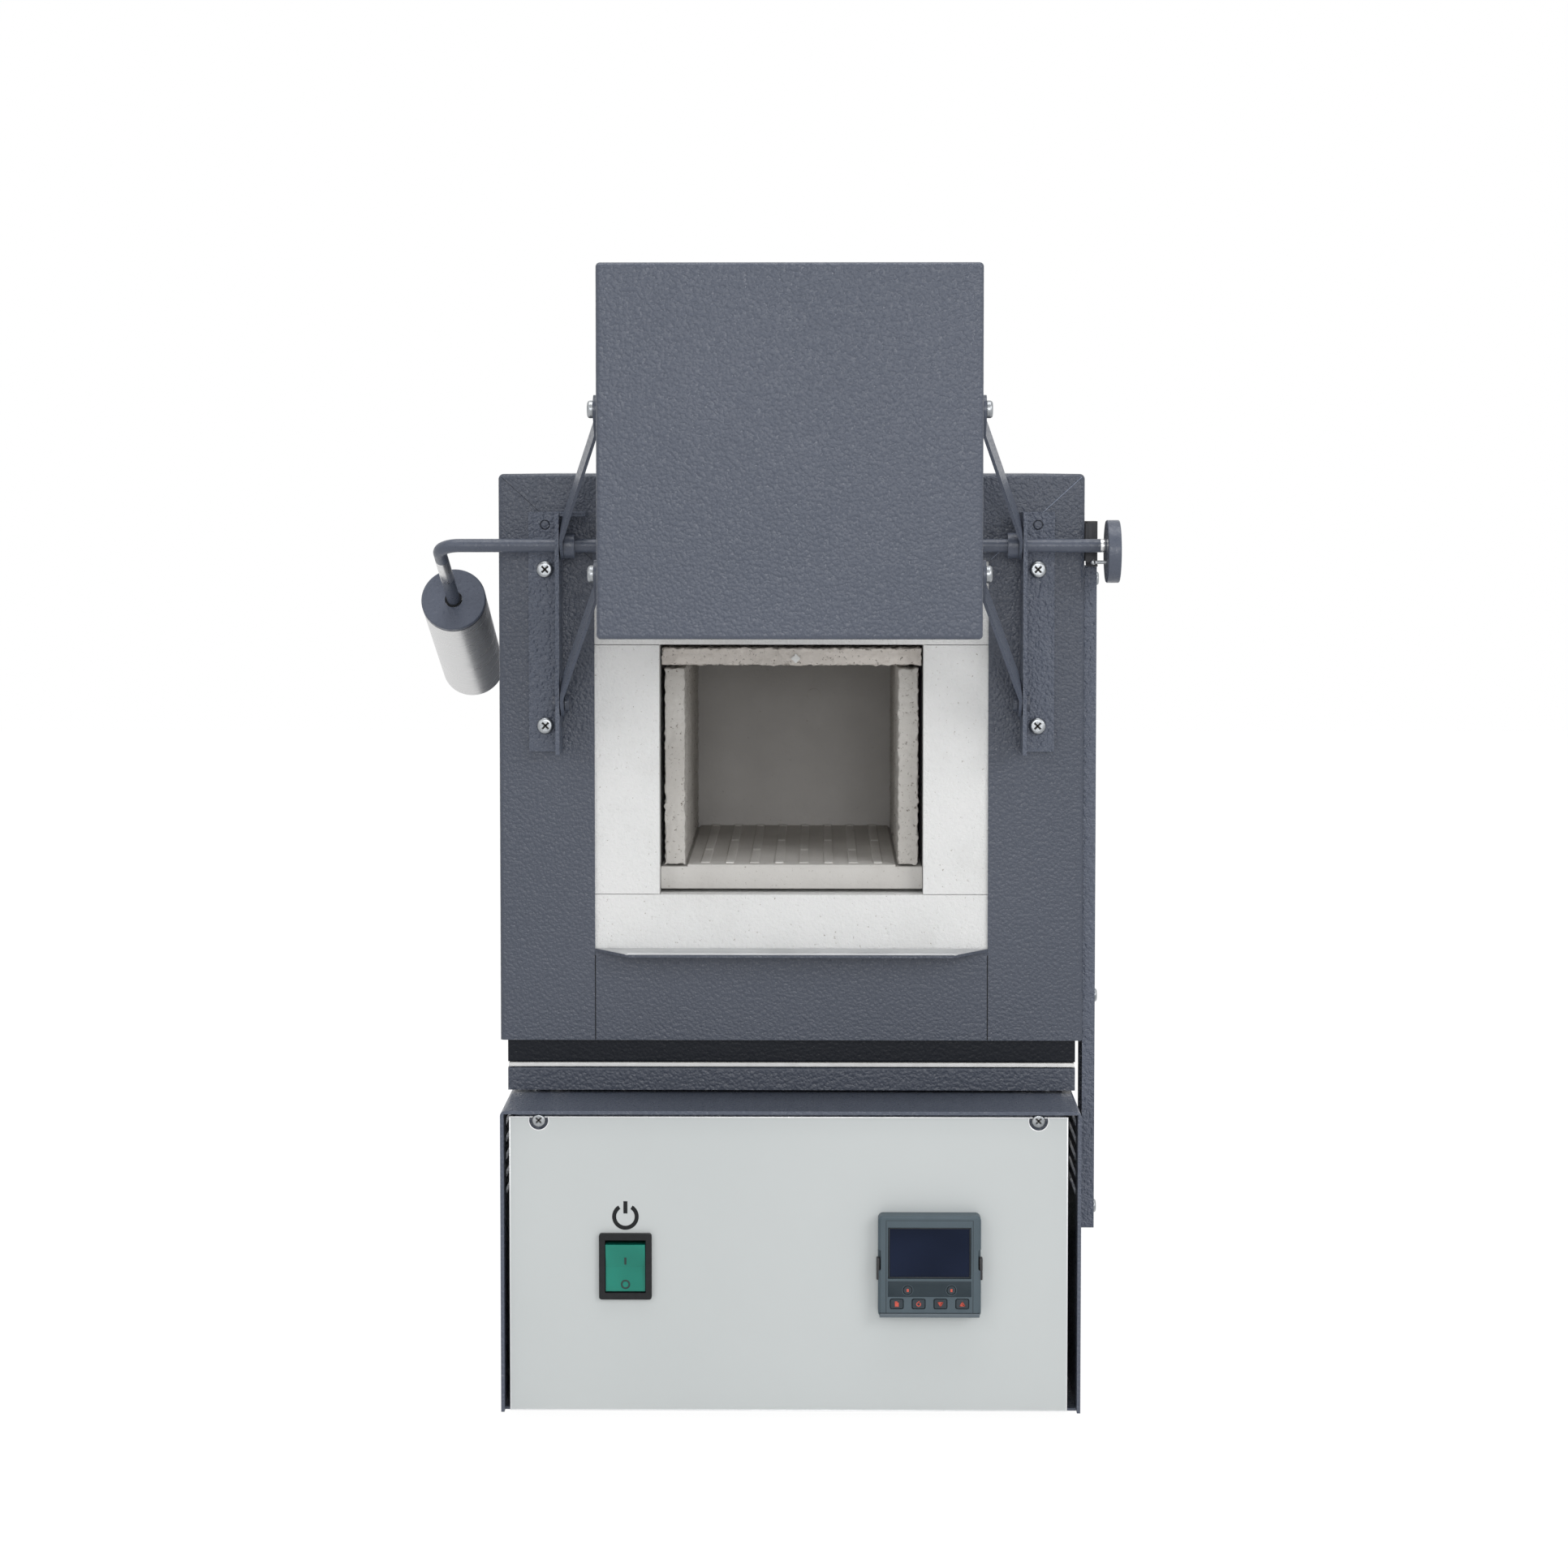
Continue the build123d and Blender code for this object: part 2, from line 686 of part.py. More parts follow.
thermocouple_x = 10.5
thermocouple_up = 70.6  # above the hearth
thermocouple_z = hearth_z + thermocouple_up
sheath_r = 3.4
back_low = floor_top
back_high = body_top - sheet - fit
with BuildPart() as body_back:
    with BuildSketch(facing(body_d)):
        with Locations((0, back_low)):
            Rectangle(2 * inside_w, back_high - back_low, align=(Align.CENTER, Align.MIN))
        for low_row in (back_low + 24.0, back_high - 66.0):
            with Locations((0, low_row + 21.0)):
                with GridLocations(86.0, 10.5, 2, 5):
                    SlotOverall(70.0, 3.6, mode=Mode.SUBTRACT)
    extrude(amount=sheet)
pieces["body_back"] = body_back

with BuildPart() as lintel_retainer:
    with BuildSketch(facing(-fit)):
        with Locations((0, opening_z + opening_h)):
            Rectangle(opening_w + 1.6, retainer_h, align=(Align.CENTER, Align.MIN))
    extrude(amount=retainer_t)
pieces["lintel_retainer"] = lintel_retainer

# ---------------------------------------------------------------- lining

brick_front = sheet + fit
brick_back = brick_front + brick_d
half = jamb_gap / 2
block("sill_brick", brick_front, brick_d, floor_top, sill_brick_top, -inside_w, inside_w)
block("lintel_brick", brick_front, brick_d, lintel_z, back_high, -inside_w, inside_w)
jamb_low = sill_brick_top + brick_joint
jamb_high = lintel_z - brick_joint
twin_blocks("jamb_bricks", brick_front, brick_d, jamb_low, jamb_high, half, inside_w)

hearth_low = hearth_z - plate_t
plate_l = chamber_d + plate_t
wall_out = chamber_w / 2 + plate_t
roof_high = roof_z + roof_t
block("roof_plate", plate_setback, plate_l, roof_z + fit, roof_high, fit - half, half - fit)
twin_blocks("wall_plates", plate_setback, chamber_d, hearth_z + fit, roof_z, chamber_w / 2, wall_out)
rear_plate_depth = plate_setback + chamber_d + fit

# The hearth plate's upper face has low rounded ribs over the elements buried in it, front to back.
rib_pitch = chamber_w / rib_count
with BuildPart() as hearth_plate:
    with BuildSketch(facing(plate_setback)):
        with Locations((0, hearth_low)):
            Rectangle(jamb_gap - 2 * fit, plate_t, align=(Align.CENTER, Align.MIN))
        with Locations((0, hearth_z)):
            with GridLocations(rib_pitch, 0, rib_count, 1):
                Ellipse(rib_w / 2, rib_h)
    extrude(amount=-chamber_d)
pieces["hearth_plate"] = hearth_plate

with BuildPart() as rear_plate:
    with BuildSketch(facing(rear_plate_depth)):
        with Locations((0, hearth_low)):
            Rectangle(2 * wall_out, roof_z - hearth_low, align=(Align.CENTER, Align.MIN))
        with Locations((thermocouple_x, thermocouple_z)):
            Circle(sheath_r + fit, mode=Mode.SUBTRACT)
    extrude(amount=-plate_t)
pieces["rear_plate"] = rear_plate

fibre_front = brick_back + fit
fibre_back = body_d - rear_space
fibre_l = fibre_back - fibre_front
fibre_side = wall_out + fit
block("insulation_bottom", fibre_front, fibre_l, floor_top, hearth_low - fit, -inside_w, inside_w)
block("insulation_top", fibre_front, fibre_l, roof_high + fit, back_high, -inside_w, inside_w)
twin_blocks("insulation_sides", fibre_front, fibre_l, hearth_low, roof_high, half, inside_w)

lead_places = [(s * (wall_out - 5.0), z) for s in (-1, 1) for z in (hearth_z - 4.0, roof_z - 6.0)]
rear_fibre_front = rear_plate_depth + plate_t + fit
with BuildPart() as insulation_rear:
    with BuildSketch(facing(rear_fibre_front)):
        with Locations((0, hearth_low)):
            Rectangle(jamb_gap - 2 * fit, roof_high - hearth_low, align=(Align.CENTER, Align.MIN))
        with Locations((thermocouple_x, thermocouple_z)):
            Circle(sheath_r + fit, mode=Mode.SUBTRACT)
        with Locations(*lead_places):
            Circle(2.0 + fit, mode=Mode.SUBTRACT)
    extrude(amount=rear_fibre_front - fibre_back)
pieces["insulation_rear"] = insulation_rear

# The elements' tails leave through the rear insulation and end in screw terminals.
with BuildPart() as element_leads:
    with BuildSketch(facing(rear_fibre_front)):
        with Locations(*lead_places):
            Circle(2.0)
    extrude(amount=rear_fibre_front - fibre_back - 22.0)
    with BuildSketch(facing(fibre_back + fit)):
        with Locations(*lead_places):
            Circle(5.0)
    extrude(amount=-12.0)
pieces["element_leads"] = element_leads

with BuildPart() as thermocouple:
    with BuildSketch(facing(rear_plate_depth - 1.0)):
        with Locations((thermocouple_x, thermocouple_z)):
            Circle(sheath_r)
    extrude(amount=rear_plate_depth - 1.0 - fibre_back - 10.0)
    with BuildSketch(facing(fibre_back + 10.0)):
        with Locations((thermocouple_x, thermocouple_z)):
            RectangleRounded(30.0, 22.0, 4.0)
    extrude(amount=-16.0)
pieces["thermocouple"] = thermocouple

# ---------------------------------------------------------------- brackets, wiring channel and switch

shaft_depth = -shaft_ahead
lower_root_z = shaft_z - pivot_spacing


def bracket(name, side, with_stop):
    """An angle strip on the case's front: a flat leg with screws and an outstanding leg that carries the pivots."""
    with BuildPart() as piece:
        with BuildSketch(level(bracket_low)):
            with BuildLine():
                Polyline(
                    (side * bracket_in, -fit),
                    (side * bracket_in, -bracket_leg),
                    (side * (bracket_in + bracket_t), -bracket_leg),
                    (side * (bracket_in + bracket_t), -fit - bracket_t),
                    (side * (bracket_in + bracket_t + bracket_flat), -fit - bracket_t),
                    (side * (bracket_in + bracket_t + bracket_flat), -fit),
                    close=True,
                )
            make_face()
        extrude(amount=bracket_high - bracket_low)
        if with_stop:
            stop_rise = bracket_high - bracket_t - shaft_z
            stop_ahead = shaft_ahead + (
                stop_rise * cos(radians(arm_open)) - arm_w / 2 - 2 * fit
            ) / sin(radians(arm_open))
            with BuildSketch(level(bracket_high - bracket_t)):
                with Locations((side * (bracket_in - stop_reach / 2), -(stop_ahead + 4.0) / 2)):
                    Rectangle(stop_reach + 1.0, stop_ahead - 4.0)
            extrude(amount=bracket_t)
        with BuildSketch(across(side * (bracket_in - 1.0))):
            with Locations((shaft_depth, shaft_z)):
                Circle(shaft_r + running)
            with Locations((shaft_depth, lower_root_z)):
                Circle(pin_r + fit / 2)
        extrude(amount=side * (bracket_t + 2.0), mode=Mode.SUBTRACT)
        with BuildSketch(facing(fit)):
            with Locations(*[(side * bracket_screw_x, z) for z in bracket_screw_z]):
                Circle(2.3)
            with Locations((side * bracket_screw_x, bracket_spare_z)):
                Circle(2.45)
        extrude(amount=bracket_t + 3 * fit, mode=Mode.SUBTRACT)
    pieces[name] = piece


bracket("left_bracket", -1, True)
bracket("right_bracket", 1, False)

bracket_screw_places = [(s * bracket_screw_x, z) for s in (-1, 1) for z in bracket_screw_z]
screw_plane = facing(-2 * fit - bracket_t)
pan_head_screws("bracket_screws", screw_plane, bracket_screw_places, 4.0, 2.6, 2.1, bracket_t)

with BuildPart() as pivot_rivets:
    for side in (-1, 1):
        inner_head = side * (arm_at_root - 0.3)
        with BuildSketch(across(inner_head)):
            with Locations((shaft_depth, lower_root_z)):
                Circle(pin_head_r)
        extrude(amount=-side * 2.0)
        with BuildSketch(across(inner_head)):
            with Locations((shaft_depth, lower_root_z)):
                Circle(pin_r)
        extrude(amount=side * (bracket_in + bracket_t + 0.2 - arm_at_root + 0.3))
        with BuildSketch(across(side * (bracket_in + bracket_t + fit))):
            with Locations((shaft_depth, lower_root_z)):
                Circle(pin_head_r)
        extrude(amount=side * 1.6)
pieces["pivot_rivets"] = pivot_rivets

channel_x = body_w / 2 + fit
channel_mid = channel_setback + channel_w / 2
channel_screw_z = (channel_high - 6.0, body_z + 19.6, channel_low + 8.0)
with BuildPart() as wiring_channel:
    with BuildSketch(level(channel_low)):
        with Locations((channel_x + channel_reach / 2, channel_mid)):
            Rectangle(channel_reach, channel_w)
        with Locations((channel_x + (channel_reach - sheet) / 2, channel_mid)):
            Rectangle(channel_reach - sheet, channel_w - 2 * sheet, mode=Mode.SUBTRACT)
    extrude(amount=channel_high - channel_low)
pieces["wiring_channel"] = wiring_channel

with BuildPart() as channel_screws:
    with BuildSketch(across(channel_x + channel_reach + fit)):
        with Locations(*[(channel_mid, z) for z in channel_screw_z]):
            Circle(3.2)
    extrude(amount=1.8)
    fillet(channel_screws.faces().sort_by(Axis.X)[-3:].edges(), 1.0)
pieces["channel_screws"] = channel_screws

micro_front = channel_setback + 2.0
micro_high = micro_low + micro_h
with BuildPart() as microswitch:
    with BuildSketch(across(channel_x)):
        with Locations((micro_front, micro_low)):
            Rectangle(micro_d, micro_h, align=Align.MIN)
        with Locations((micro_front + micro_d * 0.6, micro_low + 4.5), (micro_front + micro_d * 0.6, micro_high - 5.0)):
            Circle(1.2, mode=Mode.SUBTRACT)
    extrude(amount=micro_w)
    with BuildSketch(across(channel_x + 1.2)):
        with Locations((micro_front - 2.6, micro_high - 3.2)):
            Rectangle(2.6, 3.2, align=Align.MIN)
        with Locations((micro_front - 1.3, micro_high - 1.6)):
            Circle(0.6, mode=Mode.SUBTRACT)
    extrude(amount=micro_w - 2.4)
pieces["microswitch"] = microswitch

lever_pin_depth = micro_front - 1.3
lever_pin_z = micro_high - 1.6
with BuildPart() as switch_lever:
    with BuildSketch(across(channel_x + 0.4)):
        with BuildLine():
            Polyline(
                (lever_pin_depth - 2.2, lever_pin_z + 0.6),
                (lever_pin_depth - 1.8, lever_pin_z + 0.6),
                (lever_pin_depth - 2.5, micro_low - 0.8),
                (lever_pin_depth - 5.5, micro_low - 2.4),
                (lever_pin_depth - 5.5, micro_low - 2.0),
                (lever_pin_depth - 2.9, micro_low - 0.5),
                close=True,
            )
        make_face()
    extrude(amount=micro_w - 0.8)
pieces["switch_lever"] = switch_lever

# ---------------------------------------------------------------- shaft, handle and cam

arm_turn = 180.0 - arm_open  # of a link's centreline, seen along the shaft from the right
shaft_axis_point = Vector(centre_x, front_y - shaft_ahead, shaft_z)
droop_dir = Vector(0, cos(radians(handle_droop)), -sin(radians(handle_droop)))
cam_grip = 4.0

# One bent rod: across the front, round the bend at the left and down into the counterweight.
with BuildPart() as door_shaft:
    corner = shaft_axis_point + Vector(handle_x, 0, 0)
    rod_start = shaft_axis_point + Vector(cam_x + cam_grip, 0, 0)
    rod_end = corner + droop_dir * (handle_from_axis + handle_l * 0.6)
    with BuildLine() as rod_path:
        FilletPolyline(rod_start, corner, rod_end, radius=shaft_bend)
    with BuildSketch(Plane(origin=rod_start, z_dir=(-1, 0, 0))):
        Circle(shaft_r)
    sweep()
pieces["door_shaft"] = door_shaft

handle_start = corner + droop_dir * handle_from_axis
handle_plane = Plane(origin=handle_start, x_dir=(1, 0, 0), z_dir=droop_dir)
with BuildPart() as handle_cap:
    with BuildSketch(handle_plane):
        Circle(handle_r)
        Circle(handle_hole_r, mode=Mode.SUBTRACT)
    extrude(amount=handle_cap_t)
    chamfer(handle_cap.edges().filter_by(GeomType.CIRCLE).group_by(SortBy.RADIUS)[-1], 0.5)
pieces["handle_cap"] = handle_cap

# The counterweight is a turned steel bar, bored for the rod and slightly smaller at its far end.
with BuildPart() as handle_body:
    with BuildSketch(Plane(origin=handle_start, x_dir=(1, 0, 0), z_dir=(0, -droop_dir.Z, droop_dir.Y))):
        with BuildLine():
            Polyline(
                (shaft_r + running, handle_cap_t + fit),
                (handle_r, handle_cap_t + fit),
                (handle_end_r, handle_l - 1.5),
                (handle_end_r - 1.5, handle_l),
                (0, handle_l),
                (0, 0.6 * handle_l + fit),
                (shaft_r + running, 0.6 * handle_l + fit),
                close=True,
            )
        make_face()
    revolve(axis=Axis(handle_start, droop_dir))
pieces["handle_body"] = handle_body

with BuildPart() as switch_cam:
    with BuildSketch(across(cam_x)):
        with Locations((shaft_depth, shaft_z - cam_offset)):
            Circle(cam_r)
    extrude(amount=cam_t)
    chamfer(switch_cam.edges(), 0.4)
    with BuildSketch(across(cam_x)):
        with Locations((shaft_depth, shaft_z)):
            Circle(shaft_r + running)
    extrude(amount=cam_grip + fit, mode=Mode.SUBTRACT)
pieces["switch_cam"] = switch_cam

with BuildPart() as shaft_collars:
    for side in (-1, 1):
        with BuildSketch(across(side * (arm_at_root - fit))):
            with Locations((shaft_depth, shaft_z)):
                Circle(collar_r)
                Circle(shaft_r + running, mode=Mode.SUBTRACT)
        extrude(amount=-side * collar_l)
pieces["shaft_collars"] = shaft_collars


# ---------------------------------------------------------------- door and links


def link_pair(name, root_z, root_hole_r, door_hole_r):
    """Two flat strips, joggled outward from the door's sides to the brackets, with round ends and two holes."""
    with BuildPart() as piece:
        origin = (centre_x, front_y - shaft_ahead, root_z)
        along = Plane(origin, x_dir=(1, 0, 0), z_dir=(0, -sin(radians(arm_open)), -cos(radians(arm_open))))
        with BuildSketch(along):
            for side in (-1, 1):
                with BuildLine():
                    Polyline(
                        (side * arm_at_root, -arm_w),
                        (side * arm_at_root, arm_w * 0.7),
                        (side * arm_at_door, arm_length - arm_w * 0.8),
                        (side * arm_at_door, arm_length + arm_w),
                        (side * (arm_at_door + arm_t), arm_length + arm_w),
                        (side * (arm_at_door + arm_t), arm_length - arm_w * 0.8),
                        (side * (arm_at_root + arm_t), arm_w * 0.7),
                        (side * (arm_at_root + arm_t), -arm_w),
                        close=True,
                    )
                make_face()
        extrude(amount=arm_w, both=True)
        middle = (shaft_depth - arm_reach / 2, root_z + arm_rise / 2)
        with BuildSketch(across(0)):
            with Locations(middle):
                SlotCenterToCenter(arm_length, arm_w, rotation=arm_turn)
            with Locations((shaft_depth, root_z)):
                Circle(root_hole_r, mode=Mode.SUBTRACT)
            with Locations((shaft_depth - arm_reach, root_z + arm_rise)):
                Circle(door_hole_r, mode=Mode.SUBTRACT)
        extrude(amount=body_w, both=True, mode=Mode.INTERSECT)
    pieces[name] = piece


link_pair("upper_arms", shaft_z, shaft_r + running, pin_r + running)
link_pair("lower_arms", lower_root_z, pin_r + running, pin_r + open_pin)

door_low = door_z - door_h / 2
door_front = door_back - door_t
pan_back = door_front + door_pan_d
pin_places = [(-pivot_ahead, pivot_z), (-pivot_ahead, pivot_z - pivot_spacing)]
pin_inside = 6.0

with BuildPart() as door_shell:
    with BuildSketch(facing(door_front)):
        with Locations((0, door_z)):
            Rectangle(door_w, door_h)
    extrude(amount=-door_pan_d)
    fillet(door_shell.edges() - door_shell.faces().sort_by(Axis.Y)[-1].edges(), bend - 0.5)
    with BuildSketch(facing(door_front + sheet)):
        with Locations((0, door_z)):
            Rectangle(door_w - 2 * sheet, door_h - 2 * sheet)
    extrude(amount=-door_pan_d, mode=Mode.SUBTRACT)
    with BuildSketch(across(0)):
        with Locations(*pin_places):
            Circle(pin_r + fit / 2)
    extrude(amount=door_w, both=True, mode=Mode.SUBTRACT)
pieces["door_shell"] = door_shell

with BuildPart() as door_insulation:
    with BuildSketch(facing(door_front + sheet + fit)):
        with Locations((0, door_z)):
            Rectangle(door_w - 2 * sheet - 2 * fit, door_h - 2 * sheet - 2 * fit)
    extrude(amount=-(door_t - sheet - fit))
    chamfer(door_insulation.faces().sort_by(Axis.Y)[-1].edges(), 1.5)
    for side in (-1, 1):
        with BuildSketch(across(side * door_w / 2)):
            with Locations(*pin_places):
                Circle(pin_r + fit)
        extrude(amount=-side * (pin_inside + 1.0), mode=Mode.SUBTRACT)
pieces["door_insulation"] = door_insulation

with BuildPart() as door_pivots:
    for side in (-1, 1):
        head_x = side * (arm_at_door + arm_t + 0.3)
        with BuildSketch(across(head_x)):
            with Locations(*pin_places):
                Circle(pin_head_r)
        extrude(amount=side * pin_head_t)
        with BuildSketch(across(head_x)):
            with Locations(*pin_places):
                Circle(pin_r)
        extrude(amount=side * (door_w / 2 - pin_inside) - head_x)
    outer_faces = door_pivots.faces().group_by(Axis.X)
    fillet(outer_faces[0].edges() + outer_faces[-1].edges(), 1.4)
pieces["door_pivots"] = door_pivots

# ---------------------------------------------------------------- files

os.makedirs("parts", exist_ok=True)
for name, piece in pieces.items():
    piece.part.label = name
    export_step(piece.part, f"parts/{name}.step")
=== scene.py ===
from math import cos, pi, radians, sin

import bpy
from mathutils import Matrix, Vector


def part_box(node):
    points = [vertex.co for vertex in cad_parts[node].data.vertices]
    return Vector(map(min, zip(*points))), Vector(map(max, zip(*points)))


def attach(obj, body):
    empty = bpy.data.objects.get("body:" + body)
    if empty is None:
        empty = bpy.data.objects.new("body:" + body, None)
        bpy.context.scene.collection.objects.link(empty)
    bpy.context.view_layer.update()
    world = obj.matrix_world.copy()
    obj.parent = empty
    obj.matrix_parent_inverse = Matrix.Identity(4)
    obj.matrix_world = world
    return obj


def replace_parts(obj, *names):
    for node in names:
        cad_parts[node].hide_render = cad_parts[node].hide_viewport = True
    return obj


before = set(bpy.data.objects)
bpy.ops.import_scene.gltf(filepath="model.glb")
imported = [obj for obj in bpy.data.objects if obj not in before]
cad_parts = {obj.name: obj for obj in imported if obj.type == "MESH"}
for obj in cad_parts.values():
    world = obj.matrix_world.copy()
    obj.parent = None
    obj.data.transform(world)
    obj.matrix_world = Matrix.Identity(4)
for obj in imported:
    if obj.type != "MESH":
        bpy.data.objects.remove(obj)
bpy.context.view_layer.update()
bpy.ops.object.select_all(action="DESELECT")


# ---------------------------------------------------------------- rubber feet
# Four small turned rubber feet, moulded in black rubber with a dull, slightly dusty skin.
# Each is screwed to the base's floor and stands just inside its edge.

def new_finish(name, colour, roughness, metallic=0.0, specular=0.5):
    """A material with its constants on the shader's own sockets, and Object coordinates for its patterns."""
    finish = bpy.data.materials.new(name)
    finish.use_nodes = True
    shader = finish.node_tree.nodes["Principled BSDF"]
    shader.inputs["Base Color"].default_value = (*colour, 1.0)
    shader.inputs["Roughness"].default_value = roughness
    shader.inputs["Metallic"].default_value = metallic
    shader.inputs["Specular IOR Level"].default_value = specular
    place = finish.node_tree.nodes.new("ShaderNodeTexCoord")
    place.name = "place"
    return finish


def grain(finish, scale, detail=3.0, stretch=(1.0, 1.0, 1.0), rough=0.5):
    """A noise pattern on Object coordinates, stretched along an axis where the finish is drawn or brushed."""
    tree = finish.node_tree
    mapping = tree.nodes.new("ShaderNodeMapping")
    mapping.inputs["Scale"].default_value = stretch
    noise = tree.nodes.new("ShaderNodeTexNoise")
    noise.inputs["Scale"].default_value = scale
    noise.inputs["Detail"].default_value = detail
    noise.inputs["Roughness"].default_value = rough
    tree.links.new(tree.nodes["place"].outputs["Object"], mapping.inputs["Vector"])
    tree.links.new(mapping.outputs["Vector"], noise.inputs["Vector"])
    return noise.outputs["Fac"]


def shade_between(finish, pattern, stops):
    """Colours the surface from a pattern: stops are (position, colour)."""
    tree = finish.node_tree
    ramp = tree.nodes.new("ShaderNodeValToRGB")
    while len(ramp.color_ramp.elements) < len(stops):
        ramp.color_ramp.elements.new(0.5)
    for element, (position, colour) in zip(ramp.color_ramp.elements, stops):
        element.position = position
        element.color = (*colour, 1.0)
    tree.links.new(pattern, ramp.inputs["Fac"])
    tree.links.new(ramp.outputs["Color"], tree.nodes["Principled BSDF"].inputs["Base Color"])


def mottle(finish, scale, dark, light, detail=3.0, span=(0.3, 0.7)):
    """Mottles the surface with noise that runs between two colours."""
    shade_between(finish, grain(finish, scale, detail), [(span[0], dark), (span[1], light)])


def raise_with(finish, pattern, depth, strength=1.0):
    """Bumps the surface from a pattern, depth in metres. A second call adds to the first."""
    tree = finish.node_tree
    bump = tree.nodes.new("ShaderNodeBump")
    bump.inputs["Distance"].default_value = depth
    bump.inputs["Strength"].default_value = strength
    normal = tree.nodes["Principled BSDF"].inputs["Normal"]
    if normal.is_linked:
        tree.links.new(normal.links[0].from_socket, bump.inputs["Normal"])
    tree.links.new(pattern, bump.inputs["Height"])
    tree.links.new(bump.outputs["Normal"], normal)


def roughen(finish, pattern, low, high):
    """Varies the gloss with a pattern."""
    tree = finish.node_tree
    spread = tree.nodes.new("ShaderNodeMapRange")
    spread.inputs["From Min"].default_value = 0.3
    spread.inputs["From Max"].default_value = 0.7
    spread.inputs["To Min"].default_value = low
    spread.inputs["To Max"].default_value = high
    tree.links.new(pattern, spread.inputs["Value"])
    tree.links.new(spread.outputs["Result"], tree.nodes["Principled BSDF"].inputs["Roughness"])


def dress(finish, *nodes):
    """Gives CAD nodes a finish in their material slots."""
    for node in nodes:
        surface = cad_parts[node].data
        if not surface.materials:
            surface.materials.append(finish)
        for place in range(len(surface.materials)):
            surface.materials[place] = finish


foot_rubber = new_finish("foot_rubber", (0.018, 0.018, 0.019), 0.75)
mottle(foot_rubber, 220.0, (0.013, 0.013, 0.014), (0.035, 0.034, 0.033), span=(0.35, 0.75))
raise_with(foot_rubber, grain(foot_rubber, 900.0), 0.00008)
dress(foot_rubber, "feet")


# ---------------------------------------------------------------- base cover and pan
# Folded sheet steel, baked with a slate-blue texture enamel that dries in soft pimples.
# The cover wraps the top and sides; the pan is its floor, and both show louvres or slots.

def slate_enamel(name, tone=1.0, pimple=1.0):
    """Slate enamel: a blue-grey with a fine orange-peel skin, faint cloudiness and a satin gloss."""
    finish = new_finish(name, (0.084 * tone, 0.097 * tone, 0.130 * tone), 0.42, specular=0.38)
    dark = (0.079 * tone, 0.092 * tone, 0.124 * tone)
    light = (0.089 * tone, 0.102 * tone, 0.136 * tone)
    mottle(finish, 9.0, dark, light, 4.0)
    peel = grain(finish, 640.0, 1.0, rough=0.5)
    raise_with(finish, peel, 0.00065 * pimple, 0.9)
    roughen(finish, peel, 0.26, 0.46)
    return finish


slate = slate_enamel("slate_enamel")
slate_base = slate_enamel("slate_enamel_base", 1.10)
dress(slate_base, "base_wrapper", "base_pan")


def take(name, finish, body):
    """Settles the active object: its place goes into its mesh; it gets its name, finish, body and slot."""
    piece = bpy.context.object
    piece.name = name
    piece.data.name = name
    bpy.ops.object.transform_apply(location=True, rotation=True, scale=True)
    piece.data.materials.clear()
    piece.data.materials.append(finish)
    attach(piece, body)
    bpy.ops.object.select_all(action="DESELECT")
    return piece


def block_between(low, high, edge, steps=2):
    """Starts a piece as a block between two corners, with its edges broken by a bevel."""
    bpy.ops.object.select_all(action="DESELECT")
    middle = [(a + b) / 2 for a, b in zip(low, high)]
    bpy.ops.mesh.primitive_cube_add(size=1.0, location=middle)
    piece = bpy.context.object
    piece.scale = [b - a for a, b in zip(low, high)]
    bpy.ops.object.transform_apply(location=True, rotation=True, scale=True)
    if edge:
        softened = piece.modifiers.new("edges", "BEVEL")
        softened.width = edge
        softened.segments = steps
        softened.limit_method = "NONE"
        bpy.ops.object.modifier_apply(modifier="edges")
    bpy.ops.object.shade_smooth_by_angle(angle=radians(32))
    return piece


# ---------------------------------------------------------------- front panel
# A flat sheet of steel in smooth pale grey enamel, held in the cover's front by a screw at each top corner.
# Its sheared edges catch the light, and each screw stands in a round notch with a bright rim.

pale_enamel = new_finish("pale_enamel", (0.60, 0.63, 0.63), 0.55, specular=0.3)
mottle(pale_enamel, 7.0, (0.59, 0.62, 0.62), (0.62, 0.65, 0.65), 4.0)
raise_with(pale_enamel, grain(pale_enamel, 1500.0, 2.0), 0.00003, 0.5)
roughen(pale_enamel, grain(pale_enamel, 60.0), 0.45, 0.56)
dress(pale_enamel, "front_panel")

panel_low, panel_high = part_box("front_panel")
screw_low, screw_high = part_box("panel_screws")
panel_face = panel_low[1]
panel_screw_r = 0.0033
panel_screw_t = 0.0024
screw_z = screw_high[2] - panel_screw_r
screw_lines = (screw_low[0] + panel_screw_r, screw_high[0] - panel_screw_r)

zinc = new_finish("zinc_plate", (0.60, 0.59, 0.56), 0.32, metallic=1.0)
mottle(zinc, 420.0, (0.25, 0.265, 0.28), (0.38, 0.395, 0.41))
roughen(zinc, grain(zinc, 700.0), 0.26, 0.40)
raise_with(zinc, grain(zinc, 2600.0), 0.00002)


